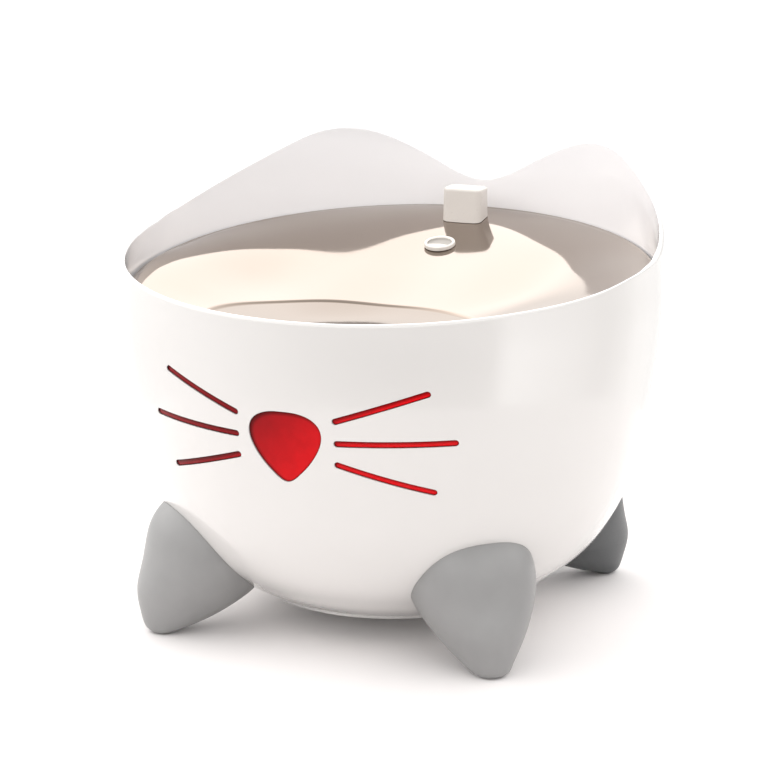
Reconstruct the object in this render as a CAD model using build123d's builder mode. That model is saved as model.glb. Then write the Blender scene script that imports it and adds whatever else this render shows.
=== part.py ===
from build123d import *
import math
import os

os.makedirs("parts", exist_ok=True)

# ---------------------------------------------------------------- driving dimensions (mm)
wall = 2.3                # shell wall
rim_r = 125.2             # outer radius of the upper wall
seam_z = 156.5            # height of the tray edge at the middle of the bowl
seam_slope = 0.11         # rise of the tray edge per mm towards the back
tray_r = 122.5            # tray radius seen from above
tray_t = 1.2              # sheet thickness
gasket_t = 2.0
ledge_t = 2.0
tank_gap_r = 109.0        # outer radius of the tank beside the lenses
lens_inset = 0.7          # lenses sit this far inside the outer surface
fit_gap = 0.12            # round the lenses in their openings
nose_z = 107.0
bar_w = 2.8               # whisker bar width
foot_azimuths = {"front_left": -134.4, "front_right": -45.6, "rear_right": 45.6, "rear_left": 134.4}
block_w, block_d, block_h = 20.2, 14.0, 16.5
block_y = 99.0
float_x, float_y = 0.0, 63.3
pump_y = 44.0
pump_w, pump_d, pump_h = 46.0, 46.0, 30.0
pump_z = 38.0
tube_y = block_y

# outer profile of the bowl, radius and height
outer_pts = [
    (63.0, 12.8), (69.2, 16.0), (75.8, 19.8), (81.6, 24.0), (88.6, 29.2), (94.6, 34.4), (100.0, 40.8),
    (104.6, 48.0), (109.4, 57.5), (113.0, 67.0), (116.2, 78.5), (118.9, 90.0), (121.3, 102.5),
    (123.1, 115.0), (124.6, 126.0), (125.6, 137.0), (126.0, 148.0), (125.7, 158.0), (125.3, 167.0),
    (125.2, 178.0), (125.2, 190.0), (125.2, 202.0), (125.2, 212.0),
]


def offset_pts(pts, d, z_lo=-1e9, z_hi=1e9):
    """Profile points moved inwards by d along the local normal."""
    out = []
    for i, (r, z) in enumerate(pts):
        a = pts[max(i - 1, 0)]
        b = pts[min(i + 1, len(pts) - 1)]
        tx, tz = b[0] - a[0], b[1] - a[1]
        n = math.hypot(tx, tz)
        q = (r - d * tz / n, z + d * tx / n)
        if z_lo <= z <= z_hi:
            out.append(q)
    return out


def outer_r(z):
    """Outer radius of the bowl at height z."""
    for (r0, z0), (r1, z1) in zip(outer_pts, outer_pts[1:]):
        if z0 <= z <= z1:
            return r0 + (r1 - r0) * (z - z0) / (z1 - z0)
    return outer_pts[-1][0]


def seam(y):
    return seam_z + seam_slope * y


# heights of the dish below the plane of its edge, on a 30 mm grid: rows |x| = 0, 30, 60, 90, 120, columns y = -120 .. 120
dish_table = [
    [0.0, -4.9, -8.8, -10.8, -9.2, -6.3, -3.5, -0.2, 0.0],
    [0.4, -4.2, -8.4, -9.6, -7.7, -4.8, -1.6, 0.9, -0.3],
    [1.9, -2.0, -5.4, -6.7, -6.5, -3.4, -0.1, 0.7, -1.1],
    [3.9, 1.1, -1.7, -1.0, -0.2, 0.9, 0.4, -0.3, -1.7],
    [5.8, 3.1, 0.3, 1.5, 2.1, -0.8, -1.0, -1.5, -2.5],
]


def cubic(p0, p1, p2, p3, t):
    return p1 + 0.5 * t * (p2 - p0 + t * (2 * p0 - 5 * p1 + 4 * p2 - p3 + t * (3 * (p1 - p2) + p3 - p0)))


def dish_depth(x, y):
    """Free-form dish depth, smoothed to nothing at the flat edge band."""
    ax = min(abs(x), 119.999) / 30.0
    ay = (min(max(y, -119.999), 119.999) + 120.0) / 30.0
    i, j = int(ax), int(ay)
    t, s = ax - i, ay - j
    rows = []
    for k in (-1, 0, 1, 2):
        row = dish_table[min(abs(i + k), 4)]
        v = [row[min(max(j + m, 0), 8)] for m in (-1, 0, 1, 2)]
        rows.append(cubic(*v, s))
    d = cubic(*rows, t)
    r = math.hypot(x, y)
    f = min(max((116.5 - r) / 9.0, 0.0), 1.0)
    f = f * f * (3 - 2 * f)
    return d * f


basin_a, basin_b, basin_y, basin_depth = 72.0, 50.0, -57.0, 1.6


def basin(x, y):
    """Extra depth of the drinking basin at the front."""
    q = math.hypot(x / basin_a, (y - basin_y) / basin_b)
    f = min(max((1.0 - q) / 0.13, 0.0), 1.0)
    return -basin_depth * f * f * (3 - 2 * f)


def dish_z(x, y):
    return seam(y) + dish_depth(x, y) + basin(x, y)


block_z = dish_z(0, 92.0) + 0.4          # underside of the block
seam_angle = math.degrees(math.atan(seam_slope))


def seam_plane(drop):
    """Plane through the tray's edge, lowered by drop."""
    return Plane(origin=(0, 0, seam_z - drop), z_dir=(0, -math.sin(math.radians(seam_angle)), math.cos(math.radians(seam_angle))))


section_y = [-126, -120, -114, -108, -102] + [-92 + 11.5 * k for k in range(17)] + [102, 108, 114, 120, 126]
section_x = [-126, -120, -114, -108, -102] + [-92 + 9.2 * k for k in range(21)] + [102, 108, 114, 120, 126]


def dish_solid(drop, thick):
    """Free-form sheet under the tray's top surface, lofted through sections across the tray."""
    with BuildPart() as p:
        for y in section_y:
            with BuildSketch(Plane(origin=(0, y, 0), x_dir=(1, 0, 0), z_dir=(0, -1, 0))):
                with BuildLine():
                    top = Spline(*[(x, dish_z(x, y) - drop) for x in section_x])
                    if thick:
                        low = Spline(*[(x, dish_z(x, y) - drop - thick) for x in section_x])
                        Line(top @ 0, low @ 0)
                        Line(top @ 1, low @ 1)
                    else:
                        Polyline(top @ 0, (-126, 90), (126, 90), top @ 1)
                make_face()
        loft()
    return p.part


tray_below = dish_solid(0, 0)            # everything under the tray's top surface
under_below = dish_solid(tray_t + 0.05, 0)      # everything under the sheet

# ---------------------------------------------------------------- outer shell
back_rim = [(0.0, 184.0), (9.0, 185.7), (18.0, 189.7), (27.0, 194.8), (37.0, 200.0), (48.0, 205.0), (57.0, 207.8), (64.5, 208.8),
            (72.0, 208.5), (80.0, 206.3), (90.0, 201.0), (98.0, 196.0), (105.0, 190.8), (111.0, 185.6), (116.5, 180.4), (120.0, 176.4), (122.6, 173.6)]
front_rim = [(0.0, 161.8), (32.0, 162.1), (62.0, 163.1), (84.0, 164.7), (100.0, 166.5), (114.0, 169.4), (119.5, 171.6), (122.6, 173.6)]

inner_pts = offset_pts(outer_pts, wall)

with BuildPart() as outer_shell:
    with BuildSketch(Plane.XZ) as shell_section:
        with BuildLine() as shell_line:
            a = Spline(*outer_pts)
            b = Spline(*inner_pts[1:])
            Line(a @ 1, b @ 1)
            Polyline(b @ 0, (52.0, 15.3), (52.0, 12.8), a @ 0)
        make_face()
    revolve(axis=Axis.Z)
    # ledge that carries the tank and the tray, parallel to the tray's edge
    with BuildPart(mode=Mode.PRIVATE) as ledge:
        with BuildSketch(Plane.XY.offset(120)):
            Circle(124.3)
            Circle(119.9, mode=Mode.SUBTRACT)
        extrude(amount=60)
        split(bisect_by=seam_plane(tray_t + gasket_t + ledge_t), keep=Keep.BOTTOM)
        split(bisect_by=seam_plane(tray_t + gasket_t + 2 * ledge_t + 0.4), keep=Keep.TOP)
    add(ledge.part)
    # ears and valley cut into the back wall
    with BuildSketch(Plane.XZ):
        with BuildLine():
            r1 = Spline(*back_rim)
            r2 = Spline(*[(-x, z) for x, z in back_rim])
            Polyline(r1 @ 1, (140, 173.6), (140, 230), (-140, 230), (-140, 173.6), r2 @ 1)
        make_face()
    extrude(amount=-150, mode=Mode.SUBTRACT)
    # low front rim
    with BuildSketch(Plane.XZ):
        with BuildLine():
            f1 = Spline(*front_rim)
            f2 = Spline(*[(-x, z) for x, z in front_rim])
            Polyline(f1 @ 1, (140, 173.6), (140, 230), (-140, 230), (-140, 173.6), f2 @ 1)
        make_face()
    extrude(amount=150, mode=Mode.SUBTRACT)
    # bosses for the bottom cover
    with BuildSketch(Plane.XY.offset(15.0)):
        with PolarLocations(57.0, 4, start_angle=45):
            Circle(4.0)
    extrude(amount=9)
    with BuildSketch(Plane.XY.offset(12.8)):
        with PolarLocations(57.0, 4, start_angle=45):
            Circle(1.3)
    extrude(amount=9.2, mode=Mode.SUBTRACT)

# sleeve for the power socket at the back of the underside
with BuildPart() as inlet_sleeve:
    with BuildSketch(Plane.XZ.offset(-62)):
        with Locations((0, 21.5)):
            Circle(6.6)
    extrude(amount=-22)
with BuildPart() as inlet_bore:
    with BuildSketch(Plane.XZ.offset(-58)):
        with Locations((0, 21.5)):
            Circle(5.0)
    extrude(amount=-30)

# ---------------------------------------------------------------- nose and whisker outlines, drawn on the front plane
nose_half = [(0.0, 121.8), (6.0, 121.5), (10.5, 120.3), (14.0, 118.2), (16.2, 115.2), (16.9, 111.6), (16.2, 107.6), (14.5, 103.8),
             (12.0, 99.9), (9.0, 96.2), (5.8, 93.0), (2.9, 90.5), (0.0, 89.5)]
bars = [((22.0, 118.7), (62.1, 132.4)), ((22.2, 109.0), (71.6, 109.5)), ((22.0, 99.7), (62.3, 86.4))]
face_x = -1.2        # the openings sit this far to one side


def nose_sketch(grow):
    """Rounded-triangle outline, its points moved outwards by grow."""
    pts = nose_half + [(-x, z) for x, z in reversed(nose_half[1:-1])]
    n = len(pts)
    moved = []
    for i, (x, z) in enumerate(pts):
        a, b = pts[i - 1], pts[(i + 1) % n]
        tx, tz = b[0] - a[0], b[1] - a[1]
        h = math.hypot(tx, tz)
        moved.append((x + face_x - grow * tz / h, z + grow * tx / h))
    with BuildSketch(Plane.XZ) as s:
        with BuildLine():
            Spline(*moved, periodic=True)
        make_face()
    return s.sketch


def bar_sketch(side, grow):
    with BuildSketch(Plane.XZ) as s:
        for (x0, z0), (x1, z1) in bars:
            dx, dz = side * (x1 - x0), z1 - z0
            with Locations((face_x + side * (x0 + x1) / 2, (z0 + z1) / 2)):
                SlotOverall(math.hypot(dx, dz) + 2 * grow, bar_w + 2 * grow, rotation=math.degrees(math.atan2(dz, dx)))
    return s.sketch


def flange_sketch(side):
    """Web behind the three bars of one side."""
    with BuildSketch(Plane.XZ) as s:
        with BuildLine():
            web = [(20.2, 122.5), (63.5, 136.0), (74.0, 112.5), (74.0, 106.5), (64.0, 82.6), (20.2, 95.8)]
            Polyline(*[(face_x + side * x, z) for x, z in web], close=True)
        make_face()
    return s.sketch


def band(depth_out, depth_in, z_lo, z_hi):
    """Ring of the bowl's own curve between two depths under the outer surface."""
    po = offset_pts(outer_pts, depth_out, z_lo, z_hi)
    pi = offset_pts(outer_pts, depth_in, z_lo, z_hi)
    with BuildPart() as p:
        with BuildSketch(Plane.XZ):
            with BuildLine():
                s0 = Spline(*po)
                s1 = Spline(*pi)
                Line(s0 @ 1, s1 @ 1)
                Line(s0 @ 0, s1 @ 0)
            make_face()
        revolve(axis=Axis.Z)
    return p.part


core_band = band(lens_inset, wall + 0.15, 67, 148)
web_band = band(wall + 0.15, wall + 1.55, 67, 148)

with BuildPart() as shell_cutters:
    with BuildSketch(Plane.XZ):
        add(nose_sketch(0))
        add(bar_sketch(1, 0))
        add(bar_sketch(-1, 0))
    extrude(amount=135)
    with BuildSketch(Plane.XZ):
        Rectangle(300, 600)
    extrude(amount=70, mode=Mode.SUBTRACT)

with BuildPart() as outer_shell_done:
    add(outer_shell.part)
    add(inlet_sleeve.part)
    add(shell_cutters.part, mode=Mode.SUBTRACT)
    add(inlet_bore.part, mode=Mode.SUBTRACT)
    # holes for the foot screws
    for ang in foot_azimuths.values():
        c, s = math.cos(math.radians(ang)), math.sin(math.radians(ang))
        with BuildSketch(Plane(origin=(94.5 * c, 94.5 * s, 44.8), z_dir=(0.82 * c, 0.82 * s, -0.57))):
            Circle(1.7)
        extrude(amount=12, mode=Mode.SUBTRACT)
outer_shell_part = outer_shell_done.part
outer_shell_part.label = "outer_shell"
export_step(outer_shell_part, "parts/outer_shell.step")

# ---------------------------------------------------------------- lenses
with BuildPart() as nose_web:
    with BuildSketch(Plane.XZ):
        add(nose_sketch(1.8))
    extrude(amount=135)
    add(web_band, mode=Mode.INTERSECT)
with BuildPart() as nose_lens:
    with BuildSketch(Plane.XZ):
        add(nose_sketch(-fit_gap))
    extrude(amount=135)
    add(core_band, mode=Mode.INTERSECT)
    add(nose_web.part)
nose_lens.part.label = "nose_lens"
export_step(nose_lens.part, "parts/nose_lens.step")

for side, side_name in ((1, "right"), (-1, "left")):
    with BuildPart() as whisker_lens:
        with BuildSketch(Plane.XZ):
            add(bar_sketch(side, -fit_gap))
        extrude(amount=135)
        add(core_band, mode=Mode.INTERSECT)
        with BuildPart(mode=Mode.PRIVATE) as whisker_web:
            with BuildSketch(Plane.XZ):
                add(flange_sketch(side))
            extrude(amount=135)
            add(web_band, mode=Mode.INTERSECT)
        add(whisker_web.part)
    whisker_lens.part.label = "whisker_lens_" + side_name
    export_step(whisker_lens.part, "parts/whisker_lens_" + side_name + ".step")

# ---------------------------------------------------------------- light diffuser
with BuildPart() as light_diffuser:
    with BuildSketch(Plane.XZ):
        with Locations((0, 109)):
            RectangleRounded(140, 42, 8)
    extrude(amount=135)
    add(band(wall + 3.2, wall + 4.2, 67, 148), mode=Mode.INTERSECT)
light_diffuser.part.label = "light_diffuser"
export_step(light_diffuser.part, "parts/light_diffuser.step")

# ---------------------------------------------------------------- tank
with BuildPart() as reservoir:
    with BuildSketch(Plane.XZ):
        with BuildLine():
            Polyline((0, 30), (68, 30), (80, 35), (89, 42), (97, 53), (103, 68), (106.5, 88), (tank_gap_r, 106), (tank_gap_r, 122),
                     (119.4, 134), (119.4, 175), (117.4, 175), (117.4, 135.2), (106.8, 123), (106.8, 106.2), (104.3, 88.6),
                     (100.9, 69), (95.2, 54.2), (87.6, 43.8), (79.2, 37.0), (67.5, 32.2), (0, 32.2), close=True)
        make_face()
    revolve(axis=Axis.Z)
    split(bisect_by=seam_plane(tray_t + gasket_t + 1.2), keep=Keep.BOTTOM)
    # rim lip that rests on the shell's ledge
    with BuildPart(mode=Mode.PRIVATE) as lip:
        with BuildSketch(Plane.XY.offset(120)):
            Circle(121.8)
            Circle(118.6, mode=Mode.SUBTRACT)
        extrude(amount=60)
        split(bisect_by=seam_plane(tray_t + gasket_t), keep=Keep.BOTTOM)
        split(bisect_by=seam_plane(tray_t + gasket_t + ledge_t), keep=Keep.TOP)
    add(lip.part)
    # bosses for the light board
    with BuildSketch(Plane.XZ.offset(106.2)):
        with Locations((-15.5, 107), (15.5, 107)):
            Circle(3.0)
    extrude(amount=3.8)
    with BuildSketch(Plane.XZ.offset(107.0)):
        with Locations((-15.5, 107), (15.5, 107)):
            Circle(1.0)
    extrude(amount=4.0, mode=Mode.SUBTRACT)
reservoir.part.label = "reservoir"
export_step(reservoir.part, "parts/reservoir.step")

# ---------------------------------------------------------------- light board
with BuildPart() as led_board:
    with BuildSketch(Plane.XZ.offset(110.0)):
        with Locations((0, 107)):
            RectangleRounded(38, 20, 2)
            with Locations((-15.5, 0), (15.5, 0)):
                Circle(1.2, mode=Mode.SUBTRACT)
    extrude(amount=1.4)
led_board.part.label = "led_board"
export_step(led_board.part, "parts/led_board.step")

with BuildPart() as leds:
    with BuildSketch(Plane.XZ.offset(111.4)):
        with Locations((0, 109), (-8, 112), (8, 112), (0, 101)):
            Rectangle(3.0, 3.0)
    extrude(amount=1.1)
leds.part.label = "leds"
export_step(leds.part, "parts/leds.step")

with BuildPart() as led_board_screws:
    with BuildSketch(Plane.XZ.offset(111.4)):
        with Locations((-15.5, 107), (15.5, 107)):
            Circle(1.9)
    extrude(amount=1.1)
    with BuildSketch(Plane.XZ.offset(107.4)):
        with Locations((-15.5, 107), (15.5, 107)):
            Circle(1.0)
    extrude(amount=4.0)
led_board_screws.part.label = "led_board_screws"
export_step(led_board_screws.part, "parts/led_board_screws.step")

# ---------------------------------------------------------------- bottom cover and its screws
cover_screw_xy = [(57 * math.cos(math.radians(a)), 57 * math.sin(math.radians(a))) for a in (45, 135, 225, 315)]

with BuildPart() as bottom_cover:
    with BuildSketch(Plane.XY.offset(10.8)):
        Circle(61.5)
    extrude(amount=2.0)
    fillet(bottom_cover.edges().filter_by(GeomType.CIRCLE).group_by(Axis.Z)[0], 1.2)
    with BuildSketch(Plane.XY.offset(12.8)):
        Circle(51.6)
        Circle(49.4, mode=Mode.SUBTRACT)
    extrude(amount=3.4)
    with BuildSketch(Plane.XY.offset(12.8)):
        with GridLocations(48, 30, 2, 2):
            Circle(2.6)
    extrude(amount=5.2)
    with Locations(*[(x, y, 10.8) for x, y in cover_screw_xy]):
        Cylinder(1.7, 2.0, align=(Align.CENTER, Align.CENTER, Align.MIN), mode=Mode.SUBTRACT)
        Cylinder(3.4, 1.0, align=(Align.CENTER, Align.CENTER, Align.MIN), mode=Mode.SUBTRACT)
    # cooling slots
    with BuildSketch(Plane.XY.offset(10.8)):
        with GridLocations(0, 5.0, 1, 5):
            SlotOverall(26, 2.2)
    extrude(amount=2.0, mode=Mode.SUBTRACT)
bottom_cover.part.label = "bottom_cover"
export_step(bottom_cover.part, "parts/bottom_cover.step")

with BuildPart() as bottom_cover_screws:
    with Locations(*[(x, y, 10.85) for x, y in cover_screw_xy]):
        Cylinder(3.0, 0.95, align=(Align.CENTER, Align.CENTER, Align.MIN))
    with Locations(*[(x, y, 11.8) for x, y in cover_screw_xy]):
        Cylinder(1.3, 9.0, align=(Align.CENTER, Align.CENTER, Align.MIN))
    with Locations(*[(x, y, 10.85) for x, y in cover_screw_xy]):
        Box(3.2, 0.6, 0.6, align=(Align.CENTER, Align.CENTER, Align.MIN), mode=Mode.SUBTRACT)
        Box(0.6, 3.2, 0.6, align=(Align.CENTER, Align.CENTER, Align.MIN), mode=Mode.SUBTRACT)
bottom_cover_screws.part.label = "bottom_cover_screws"
export_step(bottom_cover_screws.part, "parts/bottom_cover_screws.step")

# ---------------------------------------------------------------- control board in the base
with BuildPart() as control_board:
    with BuildSketch(Plane.XY.offset(18.0)):
        RectangleRounded(56, 38, 2)
    extrude(amount=1.6)
    with BuildSketch(Plane.XY.offset(19.6)):
        with Locations((-14, 4)):
            Rectangle(9, 9)
        with Locations((8, -6)):
            Rectangle(6, 4)
        with Locations((17, 8)):
            Circle(4)
    extrude(amount=5.0)
    with BuildSketch(Plane.XY.offset(19.6)):
        with Locations((-20, -10), (0, 14)):
            Rectangle(8, 5)
    extrude(amount=6.5)
control_board.part.label = "control_board"
export_step(control_board.part, "parts/control_board.step")

# ---------------------------------------------------------------- power socket and its seal
with BuildPart() as dc_inlet_socket:
    with BuildSketch(Plane.XZ.offset(-61.7)):
        with Locations((0, 21.5)):
            Circle(4.9)
    extrude(amount=-20.8)
    with BuildSketch(Plane.XZ.offset(-51.8)):
        with Locations((0, 21.5)):
            RectangleRounded(10, 8.4, 1)
    extrude(amount=-10)
    with BuildSketch(Plane.XZ.offset(-73)):
        with Locations((0, 21.5)):
            Circle(2.8)
    extrude(amount=-9.5, mode=Mode.SUBTRACT)
dc_inlet_socket.part.label = "dc_inlet_socket"
export_step(dc_inlet_socket.part, "parts/dc_inlet_socket.step")

with BuildPart() as inlet_seal:
    with BuildSketch(Plane.XZ.offset(-82.6)):
        with Locations((0, 21.5)):
            Circle(4.95)
            Circle(3.4, mode=Mode.SUBTRACT)
    extrude(amount=-1.4)
inlet_seal.part.label = "inlet_seal"
export_step(inlet_seal.part, "parts/inlet_seal.step")

# ---------------------------------------------------------------- feet
with BuildPart() as bowl_solid:
    with BuildSketch(Plane.XZ):
        with BuildLine():
            bs = Spline(*[(r + 0.1, z) for r, z in outer_pts])
            Polyline(bs @ 0, (0, 12.8), (0, 212), bs @ 1)
        make_face()
    revolve(axis=Axis.Z)

# foot sections: height, centre radius, half depth, half width
foot_sections = [(0.5, 115.0, 5.0, 5.5), (2.0, 113.6, 8.2, 8.4), (4.5, 109.9, 14.0, 11.6), (10.0, 103.9, 21.5, 15.8), (20.0, 97.2, 29.0, 22.2),
                 (32.0, 93.4, 28.7, 27.8), (43.0, 94.2, 24.5, 27.8), (54.0, 96.6, 18.4, 23.3), (62.0, 97.4, 9.4, 17.0)]

feet = {}
for name, ang in foot_azimuths.items():
    c, s = math.cos(math.radians(ang)), math.sin(math.radians(ang))
    with BuildPart() as foot:
        for z, rc, a, b in foot_sections:
            with BuildSketch(Plane(origin=(rc * c, rc * s, z), x_dir=(c, s, 0), z_dir=(0, 0, 1))):
                Ellipse(a, b)
        loft()
        add(bowl_solid.part, mode=Mode.SUBTRACT)
        # pocket for the pad
        with Locations((115.0 * c, 115.0 * s, 0.5)):
            Cylinder(3.6, 1.9, align=(Align.CENTER, Align.CENTER, Align.MIN), mode=Mode.SUBTRACT)
        # blind hole for the screw
        with BuildSketch(Plane(origin=(94.5 * c, 94.5 * s, 44.8), z_dir=(0.82 * c, 0.82 * s, -0.57))):
            Circle(1.4)
        extrude(amount=18.6, mode=Mode.SUBTRACT)
    foot.part.label = "foot_" + name
    export_step(foot.part, "parts/foot_" + name + ".step")
    feet[name] = foot.part

with BuildPart() as foot_pads:
    for ang in foot_azimuths.values():
        c, s = math.cos(math.radians(ang)), math.sin(math.radians(ang))
        with Locations((115.0 * c, 115.0 * s, 0)):
            Cylinder(3.5, 2.3, align=(Align.CENTER, Align.CENTER, Align.MIN))
foot_pads.part.label = "foot_pads"
export_step(foot_pads.part, "parts/foot_pads.step")

with BuildPart() as foot_screws:
    for ang in foot_azimuths.values():
        c, s = math.cos(math.radians(ang)), math.sin(math.radians(ang))
        zd = (0.82 * c, 0.82 * s, -0.57)
        with BuildSketch(Plane(origin=(94.5 * c, 94.5 * s, 44.8), z_dir=zd).offset(1.5)):
            Circle(3.0)
        extrude(amount=2.7)
        with BuildSketch(Plane(origin=(94.5 * c, 94.5 * s, 44.8), z_dir=zd).offset(1.5)):
            Circle(1.35)
        extrude(amount=16.1)
foot_screws.part.label = "foot_screws"
export_step(foot_screws.part, "parts/foot_screws.step")

# ---------------------------------------------------------------- drinking tray
# plane on the dish where the float sits, square to the surface there
float_slope = (dish_z(float_x, float_y + 6.0) - dish_z(float_x, float_y - 6.0)) / 12.0
float_plane = Plane(origin=(float_x, float_y, dish_z(float_x, float_y)), x_dir=(1, 0, 0), z_dir=(0, -float_slope, 1))

with BuildPart() as drinking_tray:
    add(dish_solid(0, tray_t))
    with BuildSketch(Plane.XY.offset(100)):
        Circle(tray_r)
    extrude(amount=90, mode=Mode.INTERSECT)
    with BuildSketch(Plane.XY.offset(100)):
        with Locations((0, tube_y)):
            Circle(3.8)
        with Locations((0, -92)):
            with GridLocations(7.0, 0, 7, 1):
                SlotOverall(12.0, 2.6, rotation=90)
    extrude(amount=90, mode=Mode.SUBTRACT)
    with BuildSketch(float_plane.offset(-12)):
        Circle(5.4)
    extrude(amount=24, mode=Mode.SUBTRACT)
drinking_tray.part.label = "drinking_tray"
export_step(drinking_tray.part, "parts/drinking_tray.step")

with BuildPart() as tray_gasket:
    with BuildSketch(Plane.XY.offset(120)):
        Circle(121.4)
        Circle(119.2, mode=Mode.SUBTRACT)
    extrude(amount=60)
    split(bisect_by=seam_plane(tray_t + 0.25), keep=Keep.BOTTOM)
    split(bisect_by=seam_plane(tray_t + gasket_t), keep=Keep.TOP)
tray_gasket.part.label = "tray_gasket"
export_step(tray_gasket.part, "parts/tray_gasket.step")

# strainer cup under the basin slots
with BuildPart() as drain_strainer:
    with BuildSketch(Plane.XY.offset(100)):
        with Locations((0, -92)):
            RectangleRounded(58, 20, 5)
    extrude(amount=60)
    add(under_below, mode=Mode.INTERSECT)
    with BuildSketch(Plane.XY.offset(100)):
        Rectangle(300, 300)
    extrude(amount=dish_z(0, -92) - tray_t - 3.4 - 100, mode=Mode.SUBTRACT)
    with BuildSketch(Plane.XY.offset(100)):
        with Locations((0, -92)):
            with GridLocations(3.6, 3.6, 14, 4):
                Rectangle(2.4, 2.4)
    extrude(amount=60, mode=Mode.SUBTRACT)
drain_strainer.part.label = "drain_strainer"
export_step(drain_strainer.part, "parts/drain_strainer.step")

# ---------------------------------------------------------------- water outlet: neck, seat and cap
neck_top = block_z + block_h - 1.7
with BuildPart() as spout_neck:
    # flanged socket under the tray
    with BuildSketch(Plane.XY.offset(142)):
        with Locations((0, tube_y)):
            Circle(7.2)
    extrude(amount=40)
    with BuildSketch(Plane.XY.offset(160)):
        with Locations((0, tube_y)):
            Circle(10.0)
    extrude(amount=22)
    add(under_below, mode=Mode.INTERSECT)
    # stem through the tray
    with BuildSketch(Plane.XY.offset(160)):
        with Locations((0, tube_y)):
            Circle(3.6)
    extrude(amount=neck_top - 0.4 - 160)
    with BuildSketch(Plane.XY.offset(141)):
        with Locations((0, tube_y)):
            Circle(5.6)
    extrude(amount=17, mode=Mode.SUBTRACT)
    with BuildSketch(Plane.XY.offset(141)):
        with Locations((0, tube_y)):
            Circle(2.4)
    extrude(amount=60, mode=Mode.SUBTRACT)
    # side windows near the top of the stem
    with BuildSketch(Plane.XZ.offset(-tube_y + 10)):
        with Locations((0, neck_top - 3.4)):
            Rectangle(3.0, 3.4)
    extrude(amount=-20, mode=Mode.SUBTRACT)
spout_neck.part.label = "spout_neck"
export_step(spout_neck.part, "parts/spout_neck.step")

with BuildPart() as spout_seat:
    with BuildSketch(Plane.XY.offset(140)):
        with Locations((0, block_y)):
            RectangleRounded(block_w - 4.6, block_d - 4.6, 1.8)
            Circle(3.66, mode=Mode.SUBTRACT)
    extrude(amount=block_z + 5.0 - 140)
    add(tray_below.moved(Location((0, 0, 0.06))), mode=Mode.SUBTRACT)
spout_seat.part.label = "spout_seat"
export_step(spout_seat.part, "parts/spout_seat.step")

with BuildPart() as spout_cap:
    with BuildSketch(Plane.XY.offset(block_z - 6)):
        with Locations((0, block_y)):
            RectangleRounded(block_w, block_d, 3.2)
    extrude(amount=block_h + 6, taper=1.0)
    fillet(spout_cap.faces().sort_by(Axis.Z)[-1].edges(), 1.2)
    with BuildSketch(Plane.XY.offset(block_z - 6)):
        with Locations((0, block_y)):
            RectangleRounded(block_w - 3.4, block_d - 3.4, 1.8)
    extrude(amount=block_h + 6 - 1.7, taper=1.0, mode=Mode.SUBTRACT)
    add(tray_below.moved(Location((0, 0, 0.35))), mode=Mode.SUBTRACT)
    # outlet notch at the back
    with BuildSketch(Plane.XZ.offset(-block_y - 4)):
        with Locations((0, block_z + 2.0)):
            Rectangle(12.0, 3.6)
    extrude(amount=-6, mode=Mode.SUBTRACT)
spout_cap.part.label = "spout_cap"
export_step(spout_cap.part, "parts/spout_cap.step")

# ---------------------------------------------------------------- level float, square to the dish
with BuildPart() as level_float:
    with BuildSketch(float_plane.offset(0.45)):
        Circle(7.5)
    extrude(amount=1.9)
    fillet(level_float.edges().filter_by(GeomType.CIRCLE), 0.8)
    with BuildSketch(float_plane.offset(2.35)):
        Circle(5.9)
    extrude(amount=-1.2, mode=Mode.SUBTRACT)
    with BuildSketch(float_plane.offset(-21)):
        Circle(3.6)
    extrude(amount=22)
level_float.part.label = "level_float"
export_step(level_float.part, "parts/level_float.step")

with BuildPart() as float_bulb:
    with BuildSketch(float_plane.offset(-33)):
        Circle(9.0)
    extrude(amount=14)
    fillet(float_bulb.edges().filter_by(GeomType.CIRCLE), 2.0)
    with BuildSketch(float_plane.offset(-21)):
        Circle(3.62)
    extrude(amount=4, mode=Mode.SUBTRACT)
float_bulb.part.label = "float_bulb"
export_step(float_bulb.part, "parts/float_bulb.step")

with BuildPart() as float_guide:
    with BuildSketch(float_plane.offset(-10)):
        Circle(8.0)
    extrude(amount=14)
    add(under_below, mode=Mode.INTERSECT)
    with BuildSketch(float_plane.offset(-10)):
        Circle(5.3)
    extrude(amount=10.1)
    with BuildSketch(float_plane.offset(-11)):
        Circle(3.68)
    extrude(amount=20, mode=Mode.SUBTRACT)
float_guide.part.label = "float_guide"
export_step(float_guide.part, "parts/float_guide.step")

# ---------------------------------------------------------------- pump
with BuildPart() as pump_body:
    with BuildSketch(Plane.XY.offset(pump_z)):
        with Locations((0, pump_y)):
            RectangleRounded(pump_w, pump_d, 7)
    extrude(amount=pump_h)
    fillet(pump_body.faces().sort_by(Axis.Z)[-1].edges(), 3.0)
    # chamber for the impeller, open at the front
    with BuildSketch(Plane.XZ.offset(-(pump_y - pump_d / 2))):
        with Locations((0, pump_z + 15)):
            Circle(11.0)
    extrude(amount=-12, mode=Mode.SUBTRACT)
    with BuildSketch(Plane.XZ.offset(-(pump_y - pump_d / 2))):
        with Locations((0, pump_z + 15)):
            Circle(6.3)
    extrude(amount=-34, mode=Mode.SUBTRACT)
    # outlet passage up through the body
    with BuildSketch(Plane.XY.offset(pump_z + 20)):
        with Locations((0, pump_y - pump_d / 2 + 8)):
            Circle(3.6)
    extrude(amount=12, mode=Mode.SUBTRACT)
    # outlet spigot
    with BuildSketch(Plane.XY.offset(pump_z + pump_h)):
        with Locations((0, pump_y - pump_d / 2 + 8)):
            Circle(5.4)
            Circle(3.6, mode=Mode.SUBTRACT)
    extrude(amount=7)
pump_body.part.label = "pump_body"
export_step(pump_body.part, "parts/pump_body.step")

pump_front = pump_y - pump_d / 2
shaft_z = pump_z + 15

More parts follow.
